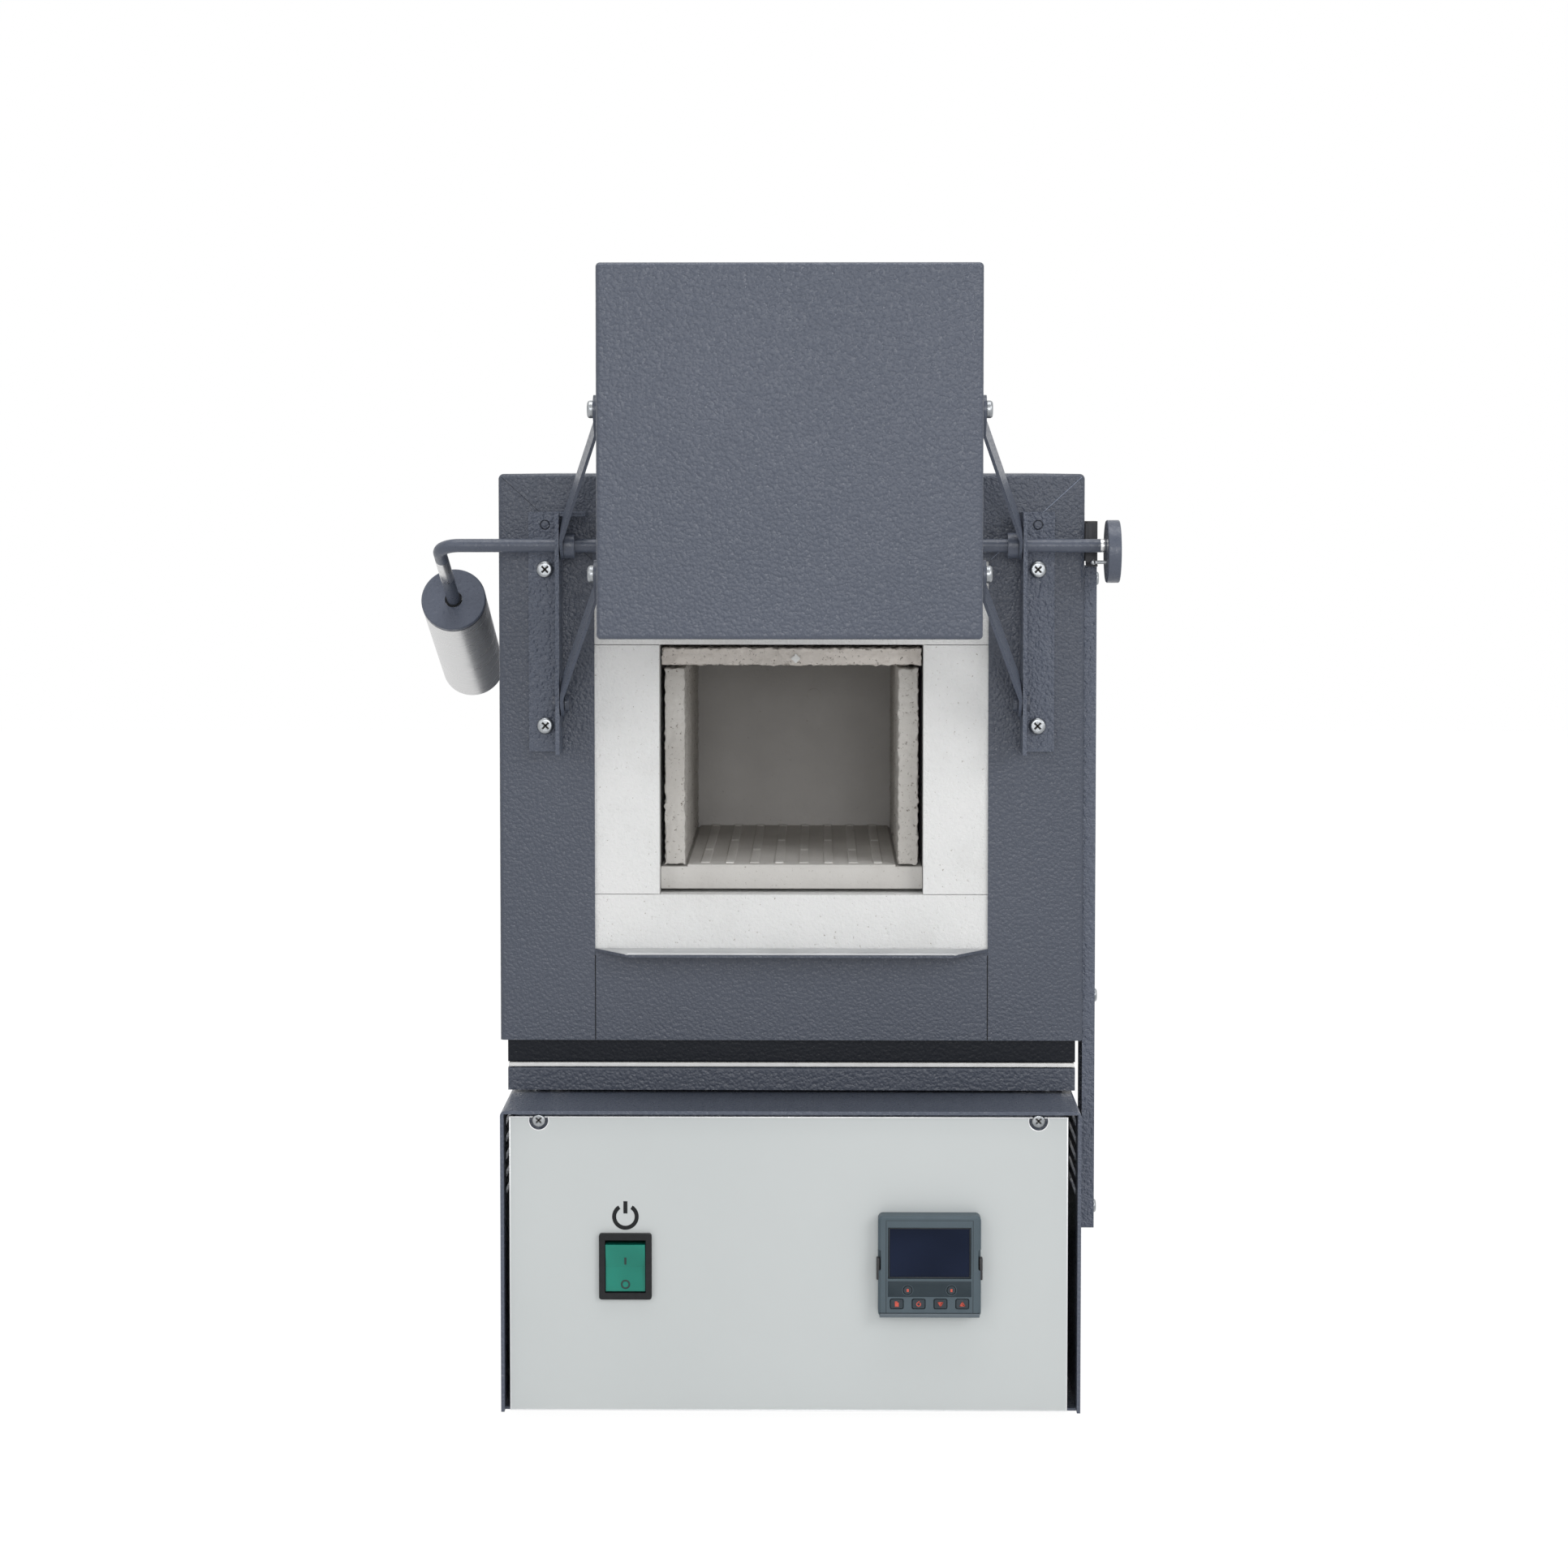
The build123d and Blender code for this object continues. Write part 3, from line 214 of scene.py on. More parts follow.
def cross_screw(head_r, head_t):
    """A pan head with a cross recess, made on the origin with its face towards -Y."""
    bpy.ops.object.select_all(action="DESELECT")
    bpy.ops.mesh.primitive_cylinder_add(vertices=48, radius=head_r, depth=head_t)
    head = bpy.context.object
    dome = head.modifiers.new("dome", "BEVEL")
    dome.width = head_t * 0.55
    dome.segments = 6
    dome.limit_method = "ANGLE"
    bpy.ops.object.modifier_apply(modifier="dome")
    cutters = []
    for turn in (0, 1):
        bpy.ops.mesh.primitive_cube_add(size=1.0, location=(0, 0, head_t / 2))
        bar = bpy.context.object
        bar.scale = (head_r * 1.15, head_r * 0.27, head_t * 0.9)
        bar.rotation_euler = (0, 0, radians(45 + 90 * turn))
        bpy.ops.object.transform_apply(location=True, rotation=True, scale=True)
        cutters.append(bar)
    for bar in cutters:
        cut = head.modifiers.new("recess", "BOOLEAN")
        cut.operation = "DIFFERENCE"
        cut.object = bar
        bpy.context.view_layer.objects.active = head
        bpy.ops.object.modifier_apply(modifier="recess")
    for bar in cutters:
        bpy.data.objects.remove(bar)
    bpy.ops.object.select_all(action="DESELECT")
    head.select_set(True)
    bpy.context.view_layer.objects.active = head
    head.rotation_euler = (radians(90), 0, 0)
    bpy.ops.object.transform_apply(location=True, rotation=True, scale=True)
    bpy.ops.object.shade_smooth_by_angle(angle=radians(35))
    return head


def copies_at(pattern, places, name, finish, body):
    """Copies of a made piece, each with its own mesh, at several places; the pattern is then deleted."""
    made = []
    for number, place in enumerate(places):
        bpy.ops.object.select_all(action="DESELECT")
        twin = pattern.copy()
        twin.data = pattern.data.copy()
        bpy.context.collection.objects.link(twin)
        twin.location = place
        twin.select_set(True)
        bpy.context.view_layer.objects.active = twin
        made.append(take(f"{name}_{number + 1}", finish, body))
    bpy.data.objects.remove(pattern)
    return made


def joined(pieces, name):
    """Joins finished pieces of one kind into one object."""
    bpy.ops.object.select_all(action="DESELECT")
    for piece in pieces:
        piece.select_set(True)
    bpy.context.view_layer.objects.active = pieces[0]
    bpy.ops.object.join()
    pieces[0].name = name
    bpy.ops.object.select_all(action="DESELECT")
    return pieces[0]


def dark_recesses(places, head_r, name):
    """Painted shade in the cross recess of each screw head, as two dark crossed bars at its bottom."""
    bars = []
    for x, y, z in places:
        for turn in (45, -45):
            block_between((-head_r * 0.52, -0.0001, -head_r * 0.11),
                          (head_r * 0.52, 0.0002, head_r * 0.11), 0.00005, 1)
            bar = bpy.context.object
            bar.rotation_euler = (0, radians(turn), 0)
            bar.location = (x, y - 0.0001, z)
            bars.append(take(name, recess_shade_finish, "furnace"))
    return joined(bars, name)


# Painted shade: a near-black finish for the bottoms of the screws' cross recesses, where shade falls.
recess_shade_finish = new_finish("recess_painted_shade", (0.05, 0.048, 0.045), 0.8)
mottle(recess_shade_finish, 900.0, (0.04, 0.038, 0.036), (0.07, 0.067, 0.062))
head_y = screw_low[1] + panel_screw_t / 2
head_places = [(x, head_y, screw_z) for x in screw_lines]
panel_heads = copies_at(cross_screw(panel_screw_r, panel_screw_t), head_places, "panel_screw",
                        zinc, "furnace")
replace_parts(joined(panel_heads, "panel_screw_heads"), "panel_screws")
dark_recesses([(x, y - 0.0001, z) for x, y, z in head_places], panel_screw_r, "panel_screw_recesses")

# The panel's sheared edge shows as a thin bright line round it, and the notches have the same bare rim.
bare_edge = new_finish("bare_edge", (0.72, 0.73, 0.74), 0.35, metallic=0.6)
roughen(bare_edge, grain(bare_edge, 800.0), 0.28, 0.45)
# The upright lines stand a hair further back than the level ones, and run in under their ends.
line_w = 0.0006
level_front = panel_face - 0.00008
upright_front = panel_face - 0.00006
line_back = panel_face + 0.0012
panel_left, panel_right = panel_low[0], panel_high[0]
panel_foot, panel_top = panel_low[2], panel_high[2]
panel_edges = []
for low, high in (
    ((panel_left, level_front, panel_top - line_w), (panel_right, line_back, panel_top)),
    ((panel_left + 0.00002, upright_front, panel_foot + 0.0004),
     (panel_left + line_w, line_back, panel_top - 0.0005)),
    ((panel_right - line_w, upright_front, panel_foot + 0.0004),
     (panel_right - 0.00002, line_back, panel_top - 0.0005)),
    ((panel_left, level_front, panel_foot), (panel_right, line_back, panel_foot + 0.0005)),
):
    block_between(low, high, 0.00012, 2)
    panel_edges.append(take("panel_edge", bare_edge, "furnace"))
for x in screw_lines:
    bpy.ops.mesh.primitive_torus_add(location=(x, panel_face, screw_z), rotation=(radians(90), 0, 0),
                                     major_radius=0.0047, minor_radius=0.00035,
                                     major_segments=64, minor_segments=8)
    bpy.ops.object.mode_set(mode="EDIT")
    bpy.ops.mesh.select_all(action="SELECT")
    bpy.ops.mesh.bisect(plane_co=(x, panel_face, panel_top), plane_no=(0, 0, 1), clear_outer=True,
                        use_fill=True)
    bpy.ops.object.mode_set(mode="OBJECT")
    bpy.ops.object.shade_smooth_by_angle(angle=radians(40))
    panel_edges.append(take("panel_edge", bare_edge, "furnace"))
joined(panel_edges, "panel_edge_lines")


# ---------------------------------------------------------------- power mark
# A plain power symbol silk-screened in black above the rocker: an open ring with a short bar in its gap.
# The ink lies on the enamel, a few hundredths of a millimetre thick.

ink = new_finish("screen_ink", (0.012, 0.013, 0.014), 0.6, specular=0.2)
mottle(ink, 900.0, (0.009, 0.010, 0.011), (0.016, 0.017, 0.018))
switch_low, switch_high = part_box("switch_body")
switch_x = (switch_low[0] + switch_high[0]) / 2
mark_rise = 0.0233  # from the switch's middle up to the mark's
mark_z = (switch_low[2] + switch_high[2]) / 2 + mark_rise


def flat_ring(radius, width, thick, from_deg=0, to_deg=360, steps=36):
    """A ring or arc in the XZ plane about the origin, anticlockwise from the right, not yet settled."""
    bpy.ops.object.select_all(action="DESELECT")
    if to_deg - from_deg >= 360:
        bpy.ops.mesh.primitive_torus_add(major_radius=radius, minor_radius=width / 2, major_segments=steps,
                                         minor_segments=8, rotation=(radians(90), 0, 0))
        whole_ring = bpy.context.object
        bpy.ops.object.transform_apply(location=True, rotation=True, scale=True)
        whole_ring.scale = (1.0, thick / width, 1.0)
        bpy.ops.object.transform_apply(location=True, rotation=True, scale=True)
        bpy.ops.object.shade_smooth()
        return whole_ring
    bpy.ops.mesh.primitive_cube_add(size=1.0, location=(radius, 0, 0))
    section = bpy.context.object
    sliver = width * 0.02
    section.scale = (width, thick, sliver)
    bpy.ops.object.transform_apply(location=True, rotation=True, scale=True)
    bpy.ops.object.mode_set(mode="EDIT")
    bpy.ops.mesh.select_mode(type="FACE")
    bpy.ops.mesh.select_all(action="DESELECT")
    bpy.ops.object.mode_set(mode="OBJECT")
    for face in section.data.polygons:
        face.select = face.normal.z > 0.9
    bpy.ops.object.mode_set(mode="EDIT")
    bpy.ops.mesh.spin(steps=steps, angle=radians(to_deg - from_deg), center=(0, 0, 0), axis=(0, 1, 0))
    bpy.ops.mesh.select_all(action="SELECT")
    bpy.ops.mesh.remove_doubles(threshold=0.0000005)
    bpy.ops.mesh.normals_make_consistent(inside=False)
    bpy.ops.object.mode_set(mode="OBJECT")
    section.rotation_euler = (0, -radians(from_deg), 0)
    bpy.ops.object.transform_apply(location=True, rotation=True, scale=True)
    return section


mark_w = 0.0019
flat_ring(0.0053, mark_w, 0.00012, 123, 417).location = (switch_x, panel_face - 0.00004, mark_z)
power_ring = take("power_ring", ink, "furnace")
block_between((switch_x - mark_w / 2, panel_face - 0.0001, mark_z + 0.0015),
              (switch_x + mark_w / 2, panel_face + 0.00002, mark_z + 0.0073), 0.00003)
power_bar = take("power_bar", ink, "furnace")
joined([power_ring, power_bar], "power_mark")


# ---------------------------------------------------------------- rocker switch
# A rimmed nylon housing clipped through the panel, with a clear-green polycarbonate rocker on a cross pin.
# The rocker's two flats meet in a valley; a bar and a ring printed in black show which end is which.

nylon = new_finish("black_nylon", (0.010, 0.011, 0.013), 0.45, specular=0.25)
mottle(nylon, 300.0, (0.008, 0.009, 0.010), (0.014, 0.015, 0.017), span=(0.3, 0.75))
raise_with(nylon, grain(nylon, 1500.0), 0.00004)
dress(nylon, "switch_body")

green_lens = new_finish("green_lens", (0.006, 0.19, 0.14), 0.2, specular=0.3)
mottle(green_lens, 35.0, (0.004, 0.190, 0.138), (0.012, 0.270, 0.195), 2.0)
raise_with(green_lens, grain(green_lens, 260.0, 1.0), 0.00002)
green_lens.node_tree.nodes["Principled BSDF"].inputs["Coat Weight"].default_value = 0.1
green_lens.node_tree.nodes["Principled BSDF"].inputs["Coat Roughness"].default_value = 0.08
dress(green_lens, "rocker")

rocker_low, rocker_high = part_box("rocker")
rocker_mid = (rocker_low[2] + rocker_high[2]) / 2
legend = new_finish("dark_legend", (0.006, 0.028, 0.024), 0.5)
mottle(legend, 1200.0, (0.005, 0.024, 0.020), (0.008, 0.034, 0.029))


def front_at(node, x, z):
    """The point and normal of a CAD node's front face at (x, z), found by a ray cast from in front."""
    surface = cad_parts[node]
    _, spot, normal, _ = surface.ray_cast((x, -0.6, z), (0, 1, 0))
    return spot, normal


def mark_on(node, x, z, lift=0.00006):
    """Turn and place that lay a mark, made flat in the XZ plane on the origin, on a node's front face."""
    spot, normal = front_at(node, x, z)
    tilt = Vector((0, -1, 0)).rotation_difference(normal).to_euler()
    return spot + normal * lift, tilt


def lay_mark(node, x, z, pieces, name, finish, body):
    """Lays made pieces, drawn about the origin, on a face as one mark."""
    place, tilt = mark_on(node, x, z)
    bpy.ops.object.select_all(action="DESELECT")
    for piece in pieces:
        piece.select_set(True)
    bpy.context.view_layer.objects.active = pieces[0]
    if len(pieces) > 1:
        bpy.ops.object.join()
    whole = bpy.context.object
    whole.rotation_euler = tilt
    whole.location = place
    return take(name, finish, body)


lay_mark("rocker", switch_x, rocker_mid - 0.0080, [flat_ring(0.0018, 0.0008, 0.0001)], "rocker_off_mark",
         legend, "rocker")
on_bar = block_between((-0.0005, -0.00005, -0.0018), (0.0005, 0.00005, 0.0018), 0.00003)
lay_mark("rocker", switch_x, rocker_mid + 0.0032, [on_bar], "rocker_on_mark",
         legend, "rocker")


# ---------------------------------------------------------------- controller
# A small square instrument: a slate-teal moulded bezel with a dark pane over its display and soft keys below.
# It clips through the panel from the front; the keys carry printed arrows, a page and a loop.

instrument_grey = new_finish("instrument_grey", (0.074, 0.104, 0.124), 0.5, specular=0.35)
mottle(instrument_grey, 60.0, (0.070, 0.099, 0.118), (0.079, 0.110, 0.131))
raise_with(instrument_grey, grain(instrument_grey, 1900.0), 0.00004)
dress(instrument_grey, "controller_bezel")
key_grey = new_finish("key_grey", (0.032, 0.044, 0.054), 0.5, specular=0.3)
mottle(key_grey, 90.0, (0.028, 0.040, 0.049), (0.036, 0.049, 0.060))
raise_with(key_grey, grain(key_grey, 1600.0), 0.00003)
dress(key_grey, "page_key", "scroll_key", "down_key", "up_key", "auto_button", "run_button")

pane = new_finish("display_pane", (0.006, 0.012, 0.034), 0.12, specular=0.12)
mottle(pane, 26.0, (0.004, 0.009, 0.026), (0.012, 0.020, 0.050), 1.0, span=(0.35, 0.75))
dress(pane, "controller_window")
black_case = new_finish("black_case", (0.022, 0.022, 0.024), 0.5)
mottle(black_case, 250.0, (0.018, 0.018, 0.020), (0.030, 0.030, 0.032))
raise_with(black_case, grain(black_case, 1300.0), 0.00004)
dress(black_case, "controller_sleeve")

bezel_low, bezel_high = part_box("controller_bezel")
window_low, window_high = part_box("controller_window")
controller_x = (bezel_low[0] + bezel_high[0]) / 2
bezel_face = bezel_low[1]

# A darker printed strip runs across under the pane, behind the two small round buttons.
strip_ink = new_finish("strip_ink", (0.022, 0.035, 0.044), 0.45, specular=0.25)
mottle(strip_ink, 140.0, (0.020, 0.032, 0.041), (0.025, 0.039, 0.049))
auto_low, auto_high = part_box("auto_button")
run_low, run_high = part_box("run_button")
strip_low = auto_low[2] - 0.0012
strip_high = window_low[2] - 0.0012
bpy.ops.object.select_all(action="DESELECT")
strip = block_between((window_low[0] - 0.0002, bezel_face - 0.00008, strip_low),
                      (window_high[0] + 0.0002, bezel_face + 0.0003, strip_high), 0.00004)
for button in ((auto_low + auto_high) / 2, (run_low + run_high) / 2):
    bpy.ops.mesh.primitive_cylinder_add(vertices=40, radius=0.0026, depth=0.004, rotation=(radians(90), 0, 0),
                                        location=(button[0], bezel_face, button[2]))
    hole = bpy.context.object
    cut = strip.modifiers.new("button_hole", "BOOLEAN")
    cut.operation = "DIFFERENCE"
    cut.object = hole
    bpy.context.view_layer.objects.active = strip
    bpy.ops.object.modifier_apply(modifier="button_hole")
    bpy.data.objects.remove(hole)
strip.select_set(True)
bpy.context.view_layer.objects.active = strip
take("controller_strip", strip_ink, "furnace")

# Small moulded frame lines inside the pane's recess, as the pane is stepped back with a bevel round it.
frame_ink = new_finish("recess_edge", (0.020, 0.026, 0.032), 0.4, specular=0.3)
mottle(frame_ink, 300.0, (0.017, 0.022, 0.028), (0.024, 0.031, 0.038))
recess = []
bar_w = 0.0007
glass_y = window_low[1]
level_front = glass_y - 0.0006
upright_front = glass_y - 0.00058
pane_left, pane_right = window_low[0], window_high[0]
pane_foot, pane_top = window_low[2], window_high[2]
for low, high in (
    ((pane_left, level_front, pane_top - bar_w), (pane_right, glass_y, pane_top)),
    ((pane_left, level_front, pane_foot), (pane_right, glass_y, pane_foot + bar_w)),
    ((pane_left + 0.00002, upright_front, pane_foot + 0.0006),
     (pane_left + bar_w, glass_y, pane_top - 0.0006)),
    ((pane_right - bar_w, upright_front, pane_foot + 0.0006),
     (pane_right - 0.00002, glass_y, pane_top - 0.0006)),
):
    block_between(low, high, 0.00025, 2)
    recess.append(take("recess_bar", frame_ink, "furnace"))
joined(recess, "pane_surround")

# Fine grooves part the bezel's side rails and foot, black clips stand at its sides, and a lip runs under it.
grooves = []
rail = 0.0203  # from the controller's middle out to a side groove
half_groove = 0.00012
groove_front = bezel_face - 0.00004
groove_back = bezel_face + 0.0002
bezel_foot, bezel_top = bezel_low[2], bezel_high[2]
lip_left, lip_right = bezel_low[0] + 0.0006, bezel_high[0] - 0.0006
for low, high in (
    ((controller_x - rail - half_groove, groove_front, bezel_foot + 0.0021),
     (controller_x - rail + half_groove, groove_back, bezel_top - 0.0022)),
    ((controller_x + rail - half_groove, groove_front, bezel_foot + 0.0021),
     (controller_x + rail + half_groove, groove_back, bezel_top - 0.0022)),
    ((controller_x - rail, groove_front, bezel_top - 0.0023),
     (controller_x + rail, groove_back, bezel_top - 0.0021)),
    ((lip_left, groove_front, bezel_foot + 0.0020), (lip_right, groove_back, bezel_foot + 0.0023)),
):
    block_between(low, high, 0.00003, 1)
    grooves.append(take("bezel_groove", frame_ink, "furnace"))
joined(grooves, "bezel_grooves")
lip_plastic = new_finish("bezel_foot", (0.10, 0.128, 0.148), 0.4)
mottle(lip_plastic, 80.0, (0.094, 0.121, 0.140), (0.106, 0.134, 0.155))
block_between((lip_left, bezel_face - 0.0004, bezel_foot + 0.0001),
              (lip_right, bezel_face + 0.001, bezel_foot + 0.0019), 0.0003, 3)
take("bezel_lip", lip_plastic, "furnace")
clips = []
clip_z = (bezel_foot + bezel_top) / 2 - 0.0013
half_clip = 0.0052
for x in (bezel_low[0], bezel_high[0]):
    block_between((x - 0.0008, bezel_face + 0.0010, clip_z - half_clip),
                  (x + 0.0008, bezel_face + 0.0048, clip_z + half_clip), 0.0004, 3)
    clips.append(take("bezel_clip", black_case, "furnace"))
joined(clips, "bezel_clips")

orange_ink = new_finish("orange_ink", (0.60, 0.085, 0.055), 0.5)
mottle(orange_ink, 900.0, (0.56, 0.075, 0.048), (0.64, 0.10, 0.064))


def outline_mark(points, width, thick=0.0001):
    """Joined thin bars along a row of (x, z) points, drawn about the origin in the XZ plane."""
    bars = []
    for (x0, z0), (x1, z1) in zip(points, points[1:]):
        run = Vector((x1 - x0, 0, z1 - z0))
        half = run.length / 2 + width / 2
        bar = block_between((-half, -thick / 2, -width / 2), (half, thick / 2, width / 2),
                            min(width, thick) * 0.15, 1)
        bar.rotation_euler = Vector((1, 0, 0)).rotation_difference(run).to_euler()
        bar.location = ((x0 + x1) / 2, 0, (z0 + z1) / 2)
        bpy.ops.object.transform_apply(location=True, rotation=True, scale=True)
        bars.append(bar)
    return bars


def key_mark(node, pieces, name):
    """Lays a mark in orange ink on the middle of a key, and it moves with the key."""
    low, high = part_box(node)
    lay_mark(node, (low[0] + high[0]) / 2, (low[2] + high[2]) / 2, pieces, name, orange_ink, node)


page = block_between((-0.0009, -0.00005, -0.0012), (0.0009, 0.00005, 0.0008), 0.00003, 1)
page_top = block_between((-0.0009, -0.00005, 0.0006), (0.0003, 0.00005, 0.0013), 0.00003, 1)
key_mark("page_key", [page, page_top], "page_icon")
loop = [flat_ring(0.0009, 0.0004, 0.0001, 100, 400)]
loop_head = outline_mark([(0.0003, 0.0014), (-0.0002, 0.0010), (0.0003, 0.0006)], 0.0003)
key_mark("scroll_key", loop + loop_head, "loop_icon")
for node, name, way in (("down_key", "down_icon", -1), ("up_key", "up_icon", 1)):
    foot, tip = -0.0008 * way, 0.0010 * way
    arrow = outline_mark([(-0.0011, foot), (0.0011, foot), (0, tip), (-0.0011, foot)], 0.0004)
    arrow_fill = outline_mark([(-0.0005, -0.0004 * way), (0.0005, -0.0004 * way), (0, 0.0004 * way)], 0.0005)
    key_mark(node, arrow + arrow_fill, name)
for node, name in (("auto_button", "auto_dot"), ("run_button", "run_dot")):
    key_mark(node, [block_between((-0.0005, -0.00006, -0.0007), (0.0005, 0.00006, 0.0007), 0.00002)], name)


# ---------------------------------------------------------------- wiring in the base
# The relay sits on a finned aluminium block, with a barrier strip for the mains beside it.
# The inlet and the breaker are black moulded parts clipped in the pan's rear upstand.

dress(black_case, "power_inlet", "circuit_breaker", "solid_state_relay", "terminal_block")
drawn_aluminium = new_finish("drawn_aluminium", (0.70, 0.70, 0.71), 0.34, metallic=1.0)
roughen(drawn_aluminium, grain(drawn_aluminium, 260.0, stretch=(1.0, 0.05, 1.0)), 0.28, 0.44)
raise_with(drawn_aluminium, grain(drawn_aluminium, 900.0, stretch=(1.0, 0.04, 1.0)), 0.00003)
dress(drawn_aluminium, "heat_sink")


# ---------------------------------------------------------------- trays
# Two shallow folded channels hold the hot case off the cool base, one standing and one hanging.
# A pale fibre-paper gasket lies between them, and its edge shows as a white line along the front.

# Painted shade: the trays take darker copies of the slate enamel for the shade under the case, the upper one
# almost black and with little sheen; that darkest copy also draws the dark left mitre seam.
slate_shade = slate_enamel("slate_enamel_shaded", 0.80)
slate_deep_shade_and_seam = slate_enamel("slate_enamel_deep_shade_and_seam", 0.16, 0.5)
slate_deep_shade_and_seam.node_tree.nodes["Principled BSDF"].inputs["Specular IOR Level"].default_value = 0.12
dress(slate_shade, "lower_tray")
dress(slate_deep_shade_and_seam, "upper_tray")
dress(zinc, "tray_bolts")
lower_low, lower_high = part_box("lower_tray")
upper_low, upper_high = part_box("upper_tray")
fibre_paper = new_finish("fibre_paper", (0.86, 0.86, 0.85), 0.85, specular=0.2)
mottle(fibre_paper, 180.0, (0.80, 0.80, 0.79), (0.90, 0.90, 0.89), 5.0)
raise_with(fibre_paper, grain(fibre_paper, 700.0, 5.0), 0.0002)
for name, front, rear in (("gasket_front", lower_low[1] + 0.0002, lower_low[1] + 0.0075),
                          ("gasket_rear", lower_high[1] - 0.0075, lower_high[1] - 0.0002)):
    block_between((lower_low[0] + 0.0003, front, lower_high[2] + 0.0004),
                  (lower_high[0] - 0.0003, rear, upper_low[2] - 0.0004), 0.0005, 3)
    bpy.ops.object.mode_set(mode="EDIT")
    bpy.ops.mesh.select_all(action="SELECT")
    bpy.ops.mesh.subdivide(number_cuts=6)
    bpy.ops.object.mode_set(mode="OBJECT")
    take(name, fibre_paper, "furnace")


# ---------------------------------------------------------------- case
# One sheet of steel wraps the sides and top and is folded in at the front round the opening.
# Its corners are mitred, so a fine seam runs in from each top corner along the fold: dark on the left, and on
# the right a light line that is a painted highlight.

slate_case = slate_enamel("slate_enamel_case", 0.86)
dress(slate_case, "body_case", "sill_panel", "body_back", "lintel_retainer")
dress(slate_base, "body_floor")
case_low, case_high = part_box("body_case")
sill_low, sill_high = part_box("sill_panel")
seam_dark = new_finish("seam_shadow", (0.012, 0.013, 0.015), 0.8, specular=0.2)
mottle(seam_dark, 600.0, (0.009, 0.010, 0.011), (0.020, 0.021, 0.024))
# Painted highlight: an enamel copy several times lighter than the case, for the right-hand mitre seam.
slate_seam_highlight = slate_enamel("slate_enamel_seam_highlight", 3.4, 0.2)
case_front = case_low[1]
seams = []
for x in (sill_low[0], sill_high[0]):
    block_between((x - 0.00025, case_front - 0.00006, case_low[2] + 0.0002),
                  (x + 0.00025, case_front + 0.0003, sill_high[2] - 0.0030), 0.00005, 1)
    seams.append(take("case_seam", seam_dark, "furnace"))
mitre_start = 0.0016  # in from the case's top corner, where its fold ends
mitre_drop = 0.0417  # down to the opening's top corner
for side, x, inner in ((-1, case_low[0], sill_low[0]), (1, case_high[0], sill_high[0])):
    outer = Vector((x - side * mitre_start, case_front, case_high[2] - mitre_start))
    corner = Vector((inner, case_front, case_high[2] - mitre_drop))
    run = corner - outer
    block_between((-run.length / 2, -0.00003, -0.00010), (run.length / 2, 0.0003, 0.00010), 0.00002, 1)
    bpy.context.object.rotation_euler = Vector((1, 0, 0)).rotation_difference(run).to_euler()
    bpy.context.object.location = (outer + corner) / 2
    seams.append(take("case_seam", slate_deep_shade_and_seam if side < 0 else slate_seam_highlight, "furnace"))
joined(seams, "case_seams")

# A pale, lightly metallic strip with cut-back ends is laid over the folded sheet of the sill's turned-out
# lip, as a painted highlight on the lip's lit top.
lip_highlight_steel = new_finish("lip_painted_highlight", (0.50, 0.51, 0.52), 0.42, metallic=0.3)
roughen(lip_highlight_steel, grain(lip_highlight_steel, 160.0, stretch=(0.06, 1.0, 1.0)), 0.36, 0.52)
mottle(lip_highlight_steel, 45.0, (0.50, 0.51, 0.52), (0.63, 0.64, 0.65), 4.0)
raise_with(lip_highlight_steel, grain(lip_highlight_steel, 700.0, stretch=(0.05, 1.0, 1.0)), 0.00003)
lip_reach = case_front - sill_low[1]
lip_taper = 0.017
block_between((sill_low[0] + 0.0002, sill_low[1] + 0.0005, sill_high[2] - 0.0010),
              (sill_high[0] - 0.0002, case_front + 0.0008, sill_high[2] + 0.00015), 0.0)
bpy.ops.object.mode_set(mode="EDIT")
for side, x in ((-1, sill_low[0]), (1, sill_high[0])):
    bpy.ops.mesh.select_all(action="SELECT")
    bpy.ops.mesh.bisect(plane_co=(x, case_front - 0.0002, 0), plane_no=(side * lip_reach, -lip_taper, 0),
                        clear_outer=True, use_fill=True)
bpy.ops.mesh.select_all(action="SELECT")
bpy.ops.mesh.bevel(offset=0.00025, segments=2, affect="EDGES")
bpy.ops.object.mode_set(mode="OBJECT")
bpy.ops.object.shade_smooth_by_angle(angle=radians(32))
take("sill_lip", lip_highlight_steel, "furnace")


# ---------------------------------------------------------------- brick lining
# Soft white insulating bricks, sawn to size and dry laid: a sill, two jambs and a lintel behind the opening.
# Their faces are porous and chalky, with small chips along the sawn edges.

